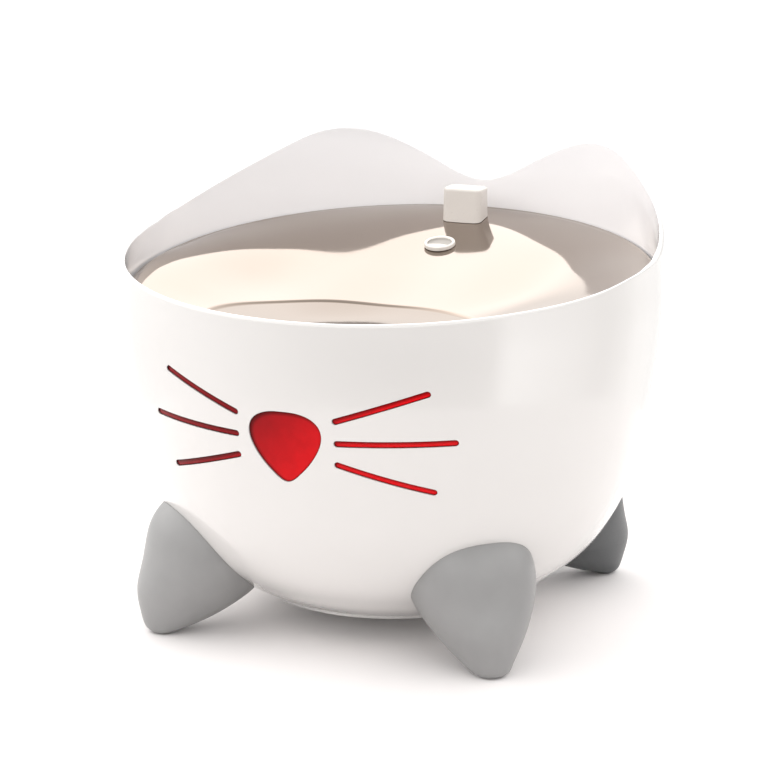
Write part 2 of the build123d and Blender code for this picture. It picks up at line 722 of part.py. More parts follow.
with BuildPart() as impeller_shaft:
    with BuildSketch(Plane.XZ.offset(-(pump_front + 2.2))):
        with Locations((0, shaft_z)):
            Circle(1.1)
    extrude(amount=-30.6)
impeller_shaft.part.label = "impeller_shaft"
export_step(impeller_shaft.part, "parts/impeller_shaft.step")

with BuildPart() as shaft_bushes:
    with BuildSketch(Plane.XZ.offset(-(pump_front + 31.8))):
        with Locations((0, shaft_z)):
            Circle(6.28)
            Circle(1.12, mode=Mode.SUBTRACT)
    extrude(amount=-2.2)
    with BuildSketch(Plane.XZ.offset(-(pump_front + 1.4))):
        with Locations((0, shaft_z)):
            Circle(2.6)
            Circle(1.12, mode=Mode.SUBTRACT)
    extrude(amount=-2.2)
shaft_bushes.part.label = "shaft_bushes"
export_step(shaft_bushes.part, "parts/shaft_bushes.step")

with BuildPart() as impeller_magnet:
    with BuildSketch(Plane.XZ.offset(-(pump_front + 11.4))):
        with Locations((0, shaft_z)):
            Circle(5.7)
            Circle(1.16, mode=Mode.SUBTRACT)
    extrude(amount=-20)
impeller_magnet.part.label = "impeller_magnet"
export_step(impeller_magnet.part, "parts/impeller_magnet.step")

with BuildPart() as impeller:
    with BuildSketch(Plane.XZ.offset(-(pump_front + 9.6))):
        with Locations((0, shaft_z)):
            Circle(9.6)
            Circle(1.16, mode=Mode.SUBTRACT)
    extrude(amount=-1.8)
    with BuildSketch(Plane.XZ.offset(-(pump_front + 4.2))):
        with Locations((0, shaft_z)):
            Circle(2.8)
            with PolarLocations(5.8, 6):
                Rectangle(7.0, 1.2)
            Circle(1.16, mode=Mode.SUBTRACT)
    extrude(amount=-5.4)
impeller.part.label = "impeller"
export_step(impeller.part, "parts/impeller.step")

with BuildPart() as pump_cover:
    with BuildSketch(Plane.XZ.offset(-(pump_front))):
        with Locations((0, shaft_z)):
            RectangleRounded(34, 28, 6)
    extrude(amount=2.4)
    with BuildSketch(Plane.XZ.offset(-(pump_front - 0.0))):
        with Locations((0, shaft_z)):
            Circle(2.6 + 1.3)
    extrude(amount=-3.4)
    with BuildSketch(Plane.XZ.offset(-(pump_front - 2.4))):
        with Locations((0, shaft_z)):
            with PolarLocations(6.4, 6):
                Circle(1.5)
    extrude(amount=-2.4, mode=Mode.SUBTRACT)
    with BuildSketch(Plane.XZ.offset(-(pump_front + 1.4))):
        with Locations((0, shaft_z)):
            Circle(2.6)
    extrude(amount=-2.0, mode=Mode.SUBTRACT)
pump_cover.part.label = "pump_cover"
export_step(pump_cover.part, "parts/pump_cover.step")

with BuildPart() as intake_foam:
    with BuildSketch(Plane.XZ.offset(-(pump_front - 2.5))):
        with Locations((0, shaft_z)):
            RectangleRounded(32, 26, 5)
    extrude(amount=7.0)
intake_foam.part.label = "intake_foam"
export_step(intake_foam.part, "parts/intake_foam.step")

with BuildPart() as pump_suction_cups:
    for x in (-15, 15):
        for y in (pump_y - 15, pump_y + 15):
            with Locations((x, y, 32.35)):
                Cone(4.6, 2.4, 3.4, align=(Align.CENTER, Align.CENTER, Align.MIN))
            with Locations((x, y, 35.75)):
                Cylinder(2.4, 2.2, align=(Align.CENTER, Align.CENTER, Align.MIN))
pump_suction_cups.part.label = "pump_suction_cups"
export_step(pump_suction_cups.part, "parts/pump_suction_cups.step")

# ---------------------------------------------------------------- riser tube
riser_y = pump_front + 8
with BuildPart() as outlet_tube:
    with BuildLine() as riser_path:
        FilletPolyline((0, riser_y, pump_z + pump_h + 7.2), (0, riser_y, 92), (0, tube_y, 126), (0, tube_y, 155.5), radius=14)
    with BuildSketch(Plane(origin=riser_path.line @ 0, z_dir=riser_path.line % 0)):
        Circle(5.2)
        Circle(3.5, mode=Mode.SUBTRACT)
    sweep()
outlet_tube.part.label = "outlet_tube"
export_step(outlet_tube.part, "parts/outlet_tube.step")

# ---------------------------------------------------------------- filter
filter_y = -26.0
with BuildPart() as filter_holder:
    with BuildSketch(Plane.XY.offset(32.4)):
        with Locations((0, filter_y)):
            RectangleRounded(92, 34, 8)
    extrude(amount=44)
    with BuildSketch(Plane.XY.offset(34.4)):
        with Locations((0, filter_y)):
            RectangleRounded(88, 30, 6)
    extrude(amount=44, mode=Mode.SUBTRACT)
    with BuildSketch(Plane.XZ.offset(-(filter_y + 20))):
        with Locations((0, 56)):
            with GridLocations(10, 9, 8, 4):
                SlotOverall(7, 3)
    extrude(amount=40, mode=Mode.SUBTRACT)
filter_holder.part.label = "filter_holder"
export_step(filter_holder.part, "parts/filter_holder.step")

with BuildPart() as filter_cartridge:
    with BuildSketch(Plane.XY.offset(34.8)):
        with Locations((0, filter_y)):
            RectangleRounded(87, 29, 5.5)
    extrude(amount=44)
    fillet(filter_cartridge.faces().sort_by(Axis.Z)[-1].edges(), 2.0)
filter_cartridge.part.label = "filter_cartridge"
export_step(filter_cartridge.part, "parts/filter_cartridge.step")

with BuildPart() as filter_pull_tab:
    with BuildSketch(Plane.XZ.offset(-(filter_y + 1.0))):
        with Locations((0, 78.9 + 6)):
            RectangleRounded(22, 12, 3)
            with Locations((0, 1)):
                SlotOverall(14, 5, mode=Mode.SUBTRACT)
    extrude(amount=2.0)
filter_pull_tab.part.label = "filter_pull_tab"
export_step(filter_pull_tab.part, "parts/filter_pull_tab.step")

print("written", len(os.listdir("parts")))
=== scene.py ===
import bpy
import math
import numpy as np
from mathutils import Matrix
from mathutils.geometry import delaunay_2d_cdt


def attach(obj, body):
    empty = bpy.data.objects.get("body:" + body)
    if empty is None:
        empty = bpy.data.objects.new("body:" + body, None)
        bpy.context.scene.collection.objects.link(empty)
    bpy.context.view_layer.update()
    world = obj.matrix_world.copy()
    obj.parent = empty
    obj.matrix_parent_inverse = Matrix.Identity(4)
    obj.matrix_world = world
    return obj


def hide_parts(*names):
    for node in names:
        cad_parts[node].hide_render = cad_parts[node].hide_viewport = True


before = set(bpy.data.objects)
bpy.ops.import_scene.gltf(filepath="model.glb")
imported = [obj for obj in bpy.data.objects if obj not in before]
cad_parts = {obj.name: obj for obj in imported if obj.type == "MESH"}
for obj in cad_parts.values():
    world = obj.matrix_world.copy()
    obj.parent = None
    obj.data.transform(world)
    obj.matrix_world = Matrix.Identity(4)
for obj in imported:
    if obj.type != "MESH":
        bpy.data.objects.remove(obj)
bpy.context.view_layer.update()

scene = bpy.context.scene
MM = 0.001
HALF_PI = math.pi / 2

# ------------------------------------------------------------------ camera
az, pitch, roll = math.radians(21.4885), math.radians(14.0159), math.radians(0.2510)
yaw = az + math.radians(0.0271)
eye = np.array([1.26734 * math.sin(az), -1.26734 * math.cos(az), 0.41918])
look = np.array([-math.sin(yaw) * math.cos(pitch), math.cos(yaw) * math.cos(pitch), -math.sin(pitch)])
side = np.cross(look, [0, 0, 1.0])
side /= np.linalg.norm(side)
over = np.cross(side, look)
right = side * math.cos(roll) + over * math.sin(roll)
upward = -side * math.sin(roll) + over * math.cos(roll)
cam_data = bpy.data.cameras.new("camera")
cam = bpy.data.objects.new("camera", cam_data)
scene.collection.objects.link(cam)
m = Matrix.Identity(4)
for k in range(3):
    m[k][0], m[k][1], m[k][2], m[k][3] = right[k], upward[k], -look[k], eye[k]
cam.matrix_world = m
cam_data.sensor_width = 36.0
cam_data.lens = 2790.41 * 36.0 / 781.0
cam_data.clip_start, cam_data.clip_end = 0.05, 100.0
scene.camera = cam


# ------------------------------------------------------------------ curves and surfaces
class Cubic:
    """Smooth cubic through points, with no knot next to its ends."""

    def __init__(self, x, y):
        x, y = np.asarray(x, float), np.asarray(y, float)
        n, h = len(x), np.diff(x)
        a, b = np.zeros((n, n)), np.zeros(y.shape)
        for i in range(1, n - 1):
            a[i, i - 1], a[i, i], a[i, i + 1] = h[i - 1], 2 * (h[i - 1] + h[i]), h[i]
            b[i] = 6 * ((y[i + 1] - y[i]) / h[i] - (y[i] - y[i - 1]) / h[i - 1])
        a[0, 0], a[0, 1], a[0, 2] = h[1], -(h[0] + h[1]), h[0]
        a[-1, -1], a[-1, -2], a[-1, -3] = h[-2], -(h[-1] + h[-2]), h[-1]
        self.x, self.y, self.h, self.m = x, y, h, np.linalg.solve(a, b)

    def __call__(self, t):
        t = np.asarray(t, float)
        i = np.clip(np.searchsorted(self.x, t) - 1, 0, len(self.h) - 1)
        h, a, b = self.h[i], self.x[i + 1] - t, t - self.x[i]
        if self.y.ndim > 1:
            h, a, b = h[..., None], a[..., None], b[..., None]
        return (self.m[i] * a ** 3 + self.m[i + 1] * b ** 3) / (6 * h) + (self.y[i] / h - self.m[i] * h / 6) * a + (self.y[i + 1] / h - self.m[i + 1] * h / 6) * b


# bowl: outer radius against height, mm
bowl = [(63.0, 12.8), (69.2, 16.0), (75.8, 19.8), (81.6, 24.0), (88.6, 29.2), (94.6, 34.4), (100.0, 40.8), (104.6, 48.0), (109.4, 57.5),
        (113.0, 67.0), (116.2, 78.5), (118.9, 90.0), (121.3, 102.5), (123.1, 115.0), (124.6, 126.0), (125.6, 137.0), (126.0, 148.0),
        (125.7, 158.0), (125.3, 167.0), (125.2, 178.0), (125.2, 190.0), (125.2, 202.0), (125.2, 212.0)]
r_outer = Cubic([p[1] for p in bowl], [p[0] for p in bowl])
WALL = 2.3
_z = np.linspace(12.8, 212, 900)
_r = r_outer(_z)
_dr = np.gradient(_r, _z)
_n = np.hypot(1, _dr)
_zi, _ri = _z + WALL * _dr / _n, _r - WALL / _n
keep = np.concatenate([[True], np.diff(_zi) > 0])


def r_inner(z):
    return np.interp(z, _zi[keep], _ri[keep])


back_pts = [(0.0, 184.0), (9.0, 185.7), (18.0, 189.7), (27.0, 194.8), (37.0, 200.0), (48.0, 205.0), (57.0, 207.8), (64.5, 208.8),
            (72.0, 208.5), (80.0, 206.3), (90.0, 201.0), (98.0, 196.0), (105.0, 191.3), (111.0, 186.9), (116.5, 182.2), (120.0, 178.6), (122.6, 175.6)]
front_pts = [(0.0, 161.8), (32.0, 162.1), (62.0, 163.1), (84.0, 164.5), (100.0, 165.9), (114.0, 168.1), (119.5, 169.9), (122.6, 171.7)]


def mirrored(pts):
    left = [(-x, z) for x, z in reversed(pts[1:])]
    allp = left + pts
    return Cubic([p[0] for p in allp], [p[1] for p in allp])


back_rim, front_rim = mirrored(back_pts), mirrored(front_pts)


def rim_height(x, y):
    ax = np.minimum(np.abs(x), 122.6)
    t = np.clip(np.asarray(y) / 44.4 + 0.5, 0.0, 1.0)  # the side, between the front and the back curve
    side_z = (171.7 * (2 * t ** 3 - 3 * t ** 2 + 1) + 175.6 * (3 * t ** 2 - 2 * t ** 3) + 44.4 * (0.10 * (t ** 3 - 2 * t ** 2 + t) + 0.17 * (t ** 3 - t ** 2)))
    return np.where(np.abs(x) > 122.6, side_z, np.where(y > 0, back_rim(ax), front_rim(ax)))


# dish: heights against the plane of its edge on a 30 mm grid, rows |x| = 0 .. 120, columns y = -120 .. 120
dish = np.array([
    [-0.02, -4.89, -8.79, -10.79, -9.24, -6.33, -3.52, -0.2, 0.0],
    [0.4, -4.17, -8.41, -9.57, -7.71, -4.78, -1.59, 0.88, -0.33],
    [1.87, -2.03, -5.41, -6.7, -6.52, -3.36, -0.14, 0.71, -1.1],
    [3.9, 1.12, -1.67, -1.04, -0.22, 0.95, 0.41, -0.27, -1.66],
    [5.8, 3.12, 0.26, 1.54, 2.15, -0.83, -1.03, -1.52, -2.5]])
grid9 = np.linspace(-120, 120, 9)
dish_full = np.vstack([dish[:0:-1], dish])
basis = Cubic(grid9, np.eye(9))


def smoother(t):
    t = np.clip(t, 0, 1)
    return t * t * t * (t * (6 * t - 15) + 10)


def dish_z(x, y):
    x, y = np.asarray(x, float), np.asarray(y, float)
    bx, by = basis(np.clip(x, -120, 120)), basis(np.clip(y, -120, 120))
    s = np.einsum("...i,ij,...j->...", bx, dish_full, by)
    s = s * smoother((122.0 - np.hypot(x, y)) / 4.0)
    q = np.hypot(x / 72.0, (y + 57.0) / 50.0)
    return 156.5 + 0.11 * y + s - 0.75 * smoother((1.0 - q) / 0.055)


# ------------------------------------------------------------------ mesh helpers
def inside(loop, pts):
    x, y = pts[:, 0], pts[:, 1]
    out = np.zeros(len(pts), bool)
    a, b = loop, np.roll(loop, -1, axis=0)
    for (x0, y0), (x1, y1) in zip(a, b):
        if y0 != y1:
            hit = ((y0 > y) != (y1 > y)) & (x < (x1 - x0) * (y - y0) / (y1 - y0) + x0)
            out ^= hit
    return out


def distance(loop, pts):
    a, b = loop, np.roll(loop, -1, axis=0)
    best = np.full(len(pts), 1e9)
    for p, q in zip(a, b):
        v = q - p
        t = np.clip(((pts - p) @ v) / max(v @ v, 1e-12), 0, 1)
        best = np.minimum(best, np.linalg.norm(pts - p - t[:, None] * v, axis=1))
    return best


def near(loop, pts, d):
    return distance(loop, pts) < d


def add_mesh(name, verts, faces, material, body, replaces=(), normals=None):
    me = bpy.data.meshes.new(name)
    me.from_pydata((np.asarray(verts) * MM).tolist(), [], [tuple(int(v) for v in f) for f in faces])
    me.shade_smooth()
    if normals is not None:
        me.normals_split_custom_set_from_vertices([tuple(float(v) for v in n) for n in normals])
    me.materials.append(material)
    ob = bpy.data.objects.new(name, me)
    scene.collection.objects.link(ob)
    if replaces:
        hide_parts(*replaces)
    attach(ob, body)
    return ob


class Skin:
    """A closed grid of rows and columns. Blocks of it can be re-meshed around holes."""

    def __init__(self, pts):
        # pts: rows x columns x 3, columns wrap round
        self.rows, self.cols = pts.shape[:2]
        self.v = [tuple(p) for p in pts.reshape(-1, 3)]
        di = np.roll(pts, -1, axis=1) - np.roll(pts, 1, axis=1)
        dj = np.empty_like(pts)
        dj[1:-1] = pts[2:] - pts[:-2]
        dj[0], dj[-1] = pts[1] - pts[0], pts[-1] - pts[-2]
        n = np.cross(di, dj)
        n /= np.maximum(np.linalg.norm(n, axis=2, keepdims=True), 1e-12)
        self.n = [tuple(p) for p in n.reshape(-1, 3)]
        self.pts = pts
        self.blocked = np.zeros((self.rows - 1, self.cols), bool)
        self.f = []

    def idx(self, j, i):
        return j * self.cols + (i % self.cols)

    def block(self, j0, j1, i0, i1, uv, loops, place, gap):
        """Re-meshes rows j0..j1 and columns i0..i1 round the loops. uv gives each grid point's flat place, place puts a flat point on the surface."""
        self.blocked[j0:j1, [i % self.cols for i in range(i0, i1)]] = True
        ids, flat = [], []
        for j in range(j0, j1 + 1):
            for i in range(i0, i1 + 1):
                ids.append(self.idx(j, i))
                flat.append(uv(j, i))
        flat = np.array(flat)
        edge = np.array([j in (j0, j1) or i in (i0, i1) for j in range(j0, j1 + 1) for i in range(i0, i1 + 1)])
        drop = np.zeros(len(flat), bool)
        for lp in loops:
            drop |= inside(lp, flat) | near(lp, flat, gap)
        drop &= ~edge
        ids = [k for k, d in zip(ids, drop) if not d]
        flat = flat[~drop]
        got, cons, pts2 = [], [], [tuple(p) for p in flat]
        for lp in loops:
            start = len(pts2)
            xyz, nrm = place(lp)
            mine = []
            for p, q, w in zip(lp, xyz, nrm):
                self.v.append(tuple(q))
                self.n.append(tuple(w))
                mine.append(len(self.v) - 1)
                pts2.append(tuple(p))
                ids.append(len(self.v) - 1)
            cons += [(start + k, start + (k + 1) % len(lp)) for k in range(len(lp))]
            got.append(mine)
        out_v, _, out_f, orig, _, _ = delaunay_2d_cdt([(float(a), float(b)) for a, b in pts2], cons, [], 0, 1e-7, True)
        back = [o[0] if o else -1 for o in orig]
        ov = np.array([(p[0], p[1]) for p in out_v])
        tri = np.array([f for f in out_f if len(f) == 3])
        cen = ov[tri].mean(axis=1)
        bad = np.zeros(len(tri), bool)
        for lp in loops:
            bad |= inside(lp, cen)
        a, b, c = ov[tri[:, 0]], ov[tri[:, 1]], ov[tri[:, 2]]
        area = (b[:, 0] - a[:, 0]) * (c[:, 1] - a[:, 1]) - (b[:, 1] - a[:, 1]) * (c[:, 0] - a[:, 0])
        sample = self.idx(j0, i0), self.idx(j0, i0 + 1), self.idx(j0 + 1, i0)
        u0, u1, u2 = np.array(uv(j0, i0)), np.array(uv(j0, i0 + 1)), np.array(uv(j0 + 1, i0))
        flip = ((u1 - u0)[0] * (u2 - u0)[1] - (u1 - u0)[1] * (u2 - u0)[0]) < 0
        for t, k, ar in zip(tri, bad, area):
            if k or abs(ar) < 1e-9:
                continue
            w = [ids[back[v]] for v in t]
            if (ar < 0) != flip:
                w.reverse()
            self.f.append(tuple(w))
        return got

    def ring(self, pts, nrm=None):
        out = []
        for k, p in enumerate(pts):
            self.v.append(tuple(p))
            self.n.append(tuple(nrm[k]) if nrm is not None else (0.0, 0.0, 0.0))
            out.append(len(self.v) - 1)
        return out

    def bridge(self, a, b):
        n = len(a)
        for k in range(n):
            self.f.append((a[k], a[(k + 1) % n], b[(k + 1) % n], b[k]))

    def close(self):
        for j in range(self.rows - 1):
            for i in range(self.cols):
                if not self.blocked[j, i]:
                    self.f.append((self.idx(j, i), self.idx(j, i + 1), self.idx(j + 1, i + 1), self.idx(j + 1, i)))
        return self


def fix_winding(v, f):
    """Makes neighbouring faces agree, and turns them outwards."""
    import bmesh
    me = bpy.data.meshes.new("tmp")
    me.from_pydata([tuple(p) for p in v], [], f)
    bm = bmesh.new()
    bm.from_mesh(me)
    bmesh.ops.recalc_face_normals(bm, faces=bm.faces)
    out = [tuple(x.index for x in face.verts) for face in bm.faces]
    bm.free()
    bpy.data.meshes.remove(me)
    return out


def closed_curve(pts, n):
    """Smooth closed loop through pts, n points."""
    p = np.array(pts + pts[:1] + pts[1:4], float)
    p = np.array(pts[-3:] + pts + pts[:4], float)
    d = np.concatenate([[0], np.cumsum(np.linalg.norm(np.diff(p, axis=0), axis=1))])
    c = Cubic(d, p)
    s0, s1 = d[3], d[3 + len(pts)]
    return c(np.linspace(s0, s1, n, endpoint=False))


def grow_loop(loop, g):
    """Loop moved outwards by g. The loop runs anticlockwise or clockwise."""
    t = np.roll(loop, -1, axis=0) - np.roll(loop, 1, axis=0)
    t /= np.linalg.norm(t, axis=1, keepdims=True)
    area = 0.5 * np.sum(loop[:, 0] * np.roll(loop[:, 1], -1) - np.roll(loop[:, 0], -1) * loop[:, 1])
    nrm = np.stack([t[:, 1], -t[:, 0]], axis=1) * (1 if area > 0 else -1)
    return loop + g * nrm, nrm


def slot_loop(p0, p1, w, n=10):
    """Outline of a rounded bar between the far ends p0 and p1, w wide."""
    p0, p1 = np.array(p0, float), np.array(p1, float)
    d = (p1 - p0) / np.linalg.norm(p1 - p0)
    s = np.array([-d[1], d[0]])
    a, b = p0 + d * w / 2, p1 - d * w / 2
    out = []
    for k in range(n + 1):
        t = -HALF_PI + math.pi * k / n
        out.append(b + (d * math.cos(t) + s * math.sin(t)) * w / 2)
    run = int(np.linalg.norm(b - a) / 1.6)
    out += [b + s * w / 2 + (a - b) * k / run for k in range(1, run)]
    for k in range(n + 1):
        t = HALF_PI + math.pi * k / n
        out.append(a + (d * math.cos(t) + s * math.sin(t)) * w / 2)
    out += [a - s * w / 2 + (b - a) * k / run for k in range(1, run)]
    return np.array(out)


nose_half = [(0.0, 121.8), (6.0, 121.5), (10.5, 120.3), (14.0, 118.2), (16.2, 115.2), (16.9, 111.6), (16.2, 107.6), (14.5, 103.8),
             (12.0, 99.9), (9.0, 96.2), (5.8, 93.0), (2.9, 90.5), (0.0, 89.5)]
bars = [((22.0, 118.7), (62.1, 132.4)), ((22.2, 109.0), (71.6, 109.5)), ((22.0, 99.7), (62.3, 86.4))]
FACE_X = -1.2
BAR_W = 2.8
nose_loop = closed_curve(nose_half + [(-x, z) for x, z in reversed(nose_half[1:-1])], 96) + [FACE_X, 0]
bar_loops = {side: [slot_loop((side * a[0] + FACE_X, a[1]), (side * b[0] + FACE_X, b[1]), BAR_W) for a, b in bars] for side in (1, -1)}


# ------------------------------------------------------------------ materials
def new_material(name):
    mat = bpy.data.materials.new(name)
    mat.use_nodes = True
    nt = mat.node_tree
    return mat, nt, nt.nodes["Principled BSDF"]


def noise_node(nt, scale, detail=3.0, rough=0.5, stretch=None):
    co = nt.nodes.new("ShaderNodeTexCoord")
    src = co.outputs["Object"]
    if stretch:
        mp = nt.nodes.new("ShaderNodeMapping")
        mp.inputs["Scale"].default_value = stretch
        nt.links.new(src, mp.inputs["Vector"])
        src = mp.outputs["Vector"]
    nz = nt.nodes.new("ShaderNodeTexNoise")
    nz.inputs["Scale"].default_value = scale
    nz.inputs["Detail"].default_value = detail
    nz.inputs["Roughness"].default_value = rough
    nt.links.new(src, nz.inputs["Vector"])
    return nz.outputs["Fac"]


def ramp(nt, fac, a, b, lo=0.35, hi=0.65):
    cr = nt.nodes.new("ShaderNodeValToRGB")
    cr.color_ramp.elements[0].position, cr.color_ramp.elements[1].position = lo, hi
    cr.color_ramp.elements[0].color = (*a, 1)
    cr.color_ramp.elements[1].color = (*b, 1)
    nt.links.new(fac, cr.inputs["Fac"])
    return cr.outputs["Color"]


def spread(nt, fac, lo, hi):
    mr = nt.nodes.new("ShaderNodeMapRange")
    mr.inputs["From Min"].default_value, mr.inputs["From Max"].default_value = 0.3, 0.7
    mr.inputs["To Min"].default_value, mr.inputs["To Max"].default_value = lo, hi
    nt.links.new(fac, mr.inputs["Value"])
    return mr.outputs["Result"]


def bump(nt, bsdf, fac, strength, distance):
    bp = nt.nodes.new("ShaderNodeBump")
    bp.inputs["Strength"].default_value = strength
    bp.inputs["Distance"].default_value = distance
    nt.links.new(fac, bp.inputs["Height"])
    nt.links.new(bp.outputs["Normal"], bsdf.inputs["Normal"])
    return bp


def surface(name, color, rough=0.4, vary=0.03, scale=60.0, fine=900.0, bump_mm=0.02, metallic=0.0, rough_vary=0.05, coat=0.0, coat_rough=0.1,
            transmission=0.0, ior=1.5, sheen=0.0, stretch=None, sss=0.0, strength=0.25, spec=0.5):
    mat, nt, b = new_material(name)
    big = noise_node(nt, scale, 3.0, 0.55, stretch)
    small = noise_node(nt, fine, 2.0, 0.5, stretch)
    a = tuple(max(0.0, c * (1 - vary)) for c in color)
    c = tuple(min(1.0, c * (1 + vary)) for c in color)
    nt.links.new(ramp(nt, big, a, c), b.inputs["Base Color"])
    nt.links.new(spread(nt, small, max(0.02, rough - rough_vary), rough + rough_vary), b.inputs["Roughness"])
    bump(nt, b, small, strength, bump_mm * MM)
    b.inputs["Metallic"].default_value = metallic
    b.inputs["Coat Weight"].default_value = coat
    b.inputs["Coat Roughness"].default_value = coat_rough
    b.inputs["Transmission Weight"].default_value = transmission
    b.inputs["IOR"].default_value = ior
    b.inputs["Sheen Weight"].default_value = sheen
    b.inputs["Specular IOR Level"].default_value = spec
    if sss:
        b.inputs["Subsurface Weight"].default_value = sss
        b.inputs["Subsurface Radius"].default_value = (1.0, 0.9, 0.8)
        b.inputs["Subsurface Scale"].default_value = 0.002
    return mat




def tinted(mat, fac, low, high):
    """Multiply a surface's colour by one of two tones, chosen by a socket."""
    nt = mat.node_tree
    b = next(n for n in nt.nodes if n.type == "BSDF_PRINCIPLED")
    link = b.inputs["Base Color"].links[0]
    mu = nt.nodes.new("ShaderNodeMixRGB")
    mu.blend_type = "MULTIPLY"
    mu.inputs["Fac"].default_value = 1.0
    nt.links.new(link.from_socket, mu.inputs["Color1"])
    nt.links.new(ramp(nt, fac, low, high, 0.0, 1.0), mu.inputs["Color2"])
    nt.links.new(mu.outputs["Color"], b.inputs["Base Color"])


mat_shell = surface("shell_gloss", (0.96, 0.95, 0.965), rough=0.24, vary=0.006, scale=14, fine=420, bump_mm=0.006, rough_vary=0.03, coat=1.0, coat_rough=0.07, strength=0.1, spec=0.35)
# painted light: the outer shell is painted darker than the inner wall above the tray, standing in for the unequal light
# on the same white plastic
at = mat_shell.node_tree.nodes.new("ShaderNodeAttribute")
at.attribute_name = "inner_wall_painted_light"
tinted(mat_shell, at.outputs["Fac"], (0.735, 0.722, 0.695), (1.0, 1.0, 1.0))
mat_steel = surface("steel_mirror", (0.336, 0.280, 0.240), rough=0.055, vary=0.012, scale=18, fine=260, bump_mm=0.002, metallic=1.0, rough_vary=0.012, strength=0.03)


def basin_painted_shade_mask(nt):
    """Painted shade mask: 0 outside the basin of the tray, 1 on its floor, where the steel is darkened."""
    co = nt.nodes.new("ShaderNodeTexCoord")
    mv = nt.nodes.new("ShaderNodeMapping")
    mv.vector_type = "TEXTURE"
    mv.inputs["Location"].default_value = (0.0, -57 * MM, 0.0)
    mv.inputs["Scale"].default_value = (72 * MM, 50 * MM, 1000.0)
    nt.links.new(co.outputs["Object"], mv.inputs["Vector"])
    ln = nt.nodes.new("ShaderNodeVectorMath")
    ln.operation = "LENGTH"
    nt.links.new(mv.outputs["Vector"], ln.inputs[0])
    mr = nt.nodes.new("ShaderNodeMapRange")
    mr.inputs["From Min"].default_value, mr.inputs["From Max"].default_value = 0.985, 0.955
    nt.links.new(ln.outputs["Value"], mr.inputs["Value"])
    return mr.outputs["Result"]


# painted shade: the mirror steel is darkened on the basin floor, standing in for the dimmer reflection in the dip
tinted(mat_steel, basin_painted_shade_mask(mat_steel.node_tree), (1.0, 1.0, 1.0), (0.635, 0.62, 0.595))
mat_foot = surface("foot_satin", (0.268, 0.266, 0.265), rough=0.40, vary=0.04, scale=40, fine=1500, bump_mm=0.03, rough_vary=0.06, strength=0.2, spec=0.6)
# painted shade: the rear feet are the same plastic as the front ones, darkened to stand in for the shade they sit in
mat_foot_rear_painted_shade = surface("foot_satin_painted_shade", (0.072, 0.077, 0.08), rough=0.40, vary=0.04, scale=40, fine=1500, bump_mm=0.03, rough_vary=0.06, strength=0.2, spec=0.6)


def lens_material():
    """Red translucent window, with painted shadow along the upper-left border of its hole and a painted light gradient
    that brightens it towards the lower right.
    """
    mat, nt, b = new_material("lens_red")
    # the edge attribute carries painted shadow: darker along the upper-left border, where the wall of the hole would
    # shade the lens
    at = nt.nodes.new("ShaderNodeAttribute")
    at.attribute_name = "edge"
    edge = nt.nodes.new("ShaderNodeValToRGB")
    edge.color_ramp.elements[0].position, edge.color_ramp.elements[1].position = 0.05, 0.9
    edge.color_ramp.elements[0].color, edge.color_ramp.elements[1].color = (0.40, 0.30, 0.34, 1), (1, 1, 1, 1)
    nt.links.new(at.outputs["Fac"], edge.inputs["Fac"])
    # painted light: the red is darker towards the upper left and brighter towards the lower right, a painted highlight
    co = nt.nodes.new("ShaderNodeTexCoord")
    dot = nt.nodes.new("ShaderNodeVectorMath")
    dot.operation = "DOT_PRODUCT"
    dot.inputs[1].default_value = (0.75, 0.0, -0.66)
    nt.links.new(co.outputs["Object"], dot.inputs[0])
    mr = nt.nodes.new("ShaderNodeMapRange")
    mr.inputs["From Min"].default_value, mr.inputs["From Max"].default_value = -0.092, -0.050
    nt.links.new(dot.outputs["Value"], mr.inputs["Value"])
    painted_light_gradient = ramp(nt, mr.outputs["Result"], (0.25, 0.003, 0.006), (0.78, 0.005, 0.009), 0.0, 1.0)
    grain = ramp(nt, noise_node(nt, 160.0, 3.0, 0.6), (0.93, 0.93, 0.93), (1.05, 1.05, 1.05))
    one = nt.nodes.new("ShaderNodeMixRGB")
    one.blend_type = "MULTIPLY"
    one.inputs["Fac"].default_value = 1.0
    nt.links.new(painted_light_gradient, one.inputs["Color1"])
    nt.links.new(edge.outputs["Color"], one.inputs["Color2"])
    two = nt.nodes.new("ShaderNodeMixRGB")
    two.blend_type = "MULTIPLY"
    two.inputs["Fac"].default_value = 1.0
    nt.links.new(one.outputs["Color"], two.inputs["Color1"])
    nt.links.new(grain, two.inputs["Color2"])
    nt.links.new(two.outputs["Color"], b.inputs["Base Color"])
    fine = noise_node(nt, 600.0, 2.0)
    nt.links.new(spread(nt, fine, 0.14, 0.22), b.inputs["Roughness"])
    bump(nt, b, fine, 0.1, 0.00001)
    b.inputs["Specular IOR Level"].default_value = 0.10
    b.inputs["Coat Weight"].default_value = 0.02
    b.inputs["Coat Roughness"].default_value = 0.04
    b.inputs["Transmission Weight"].default_value = 0.06
    b.inputs["IOR"].default_value = 1.45
    return mat


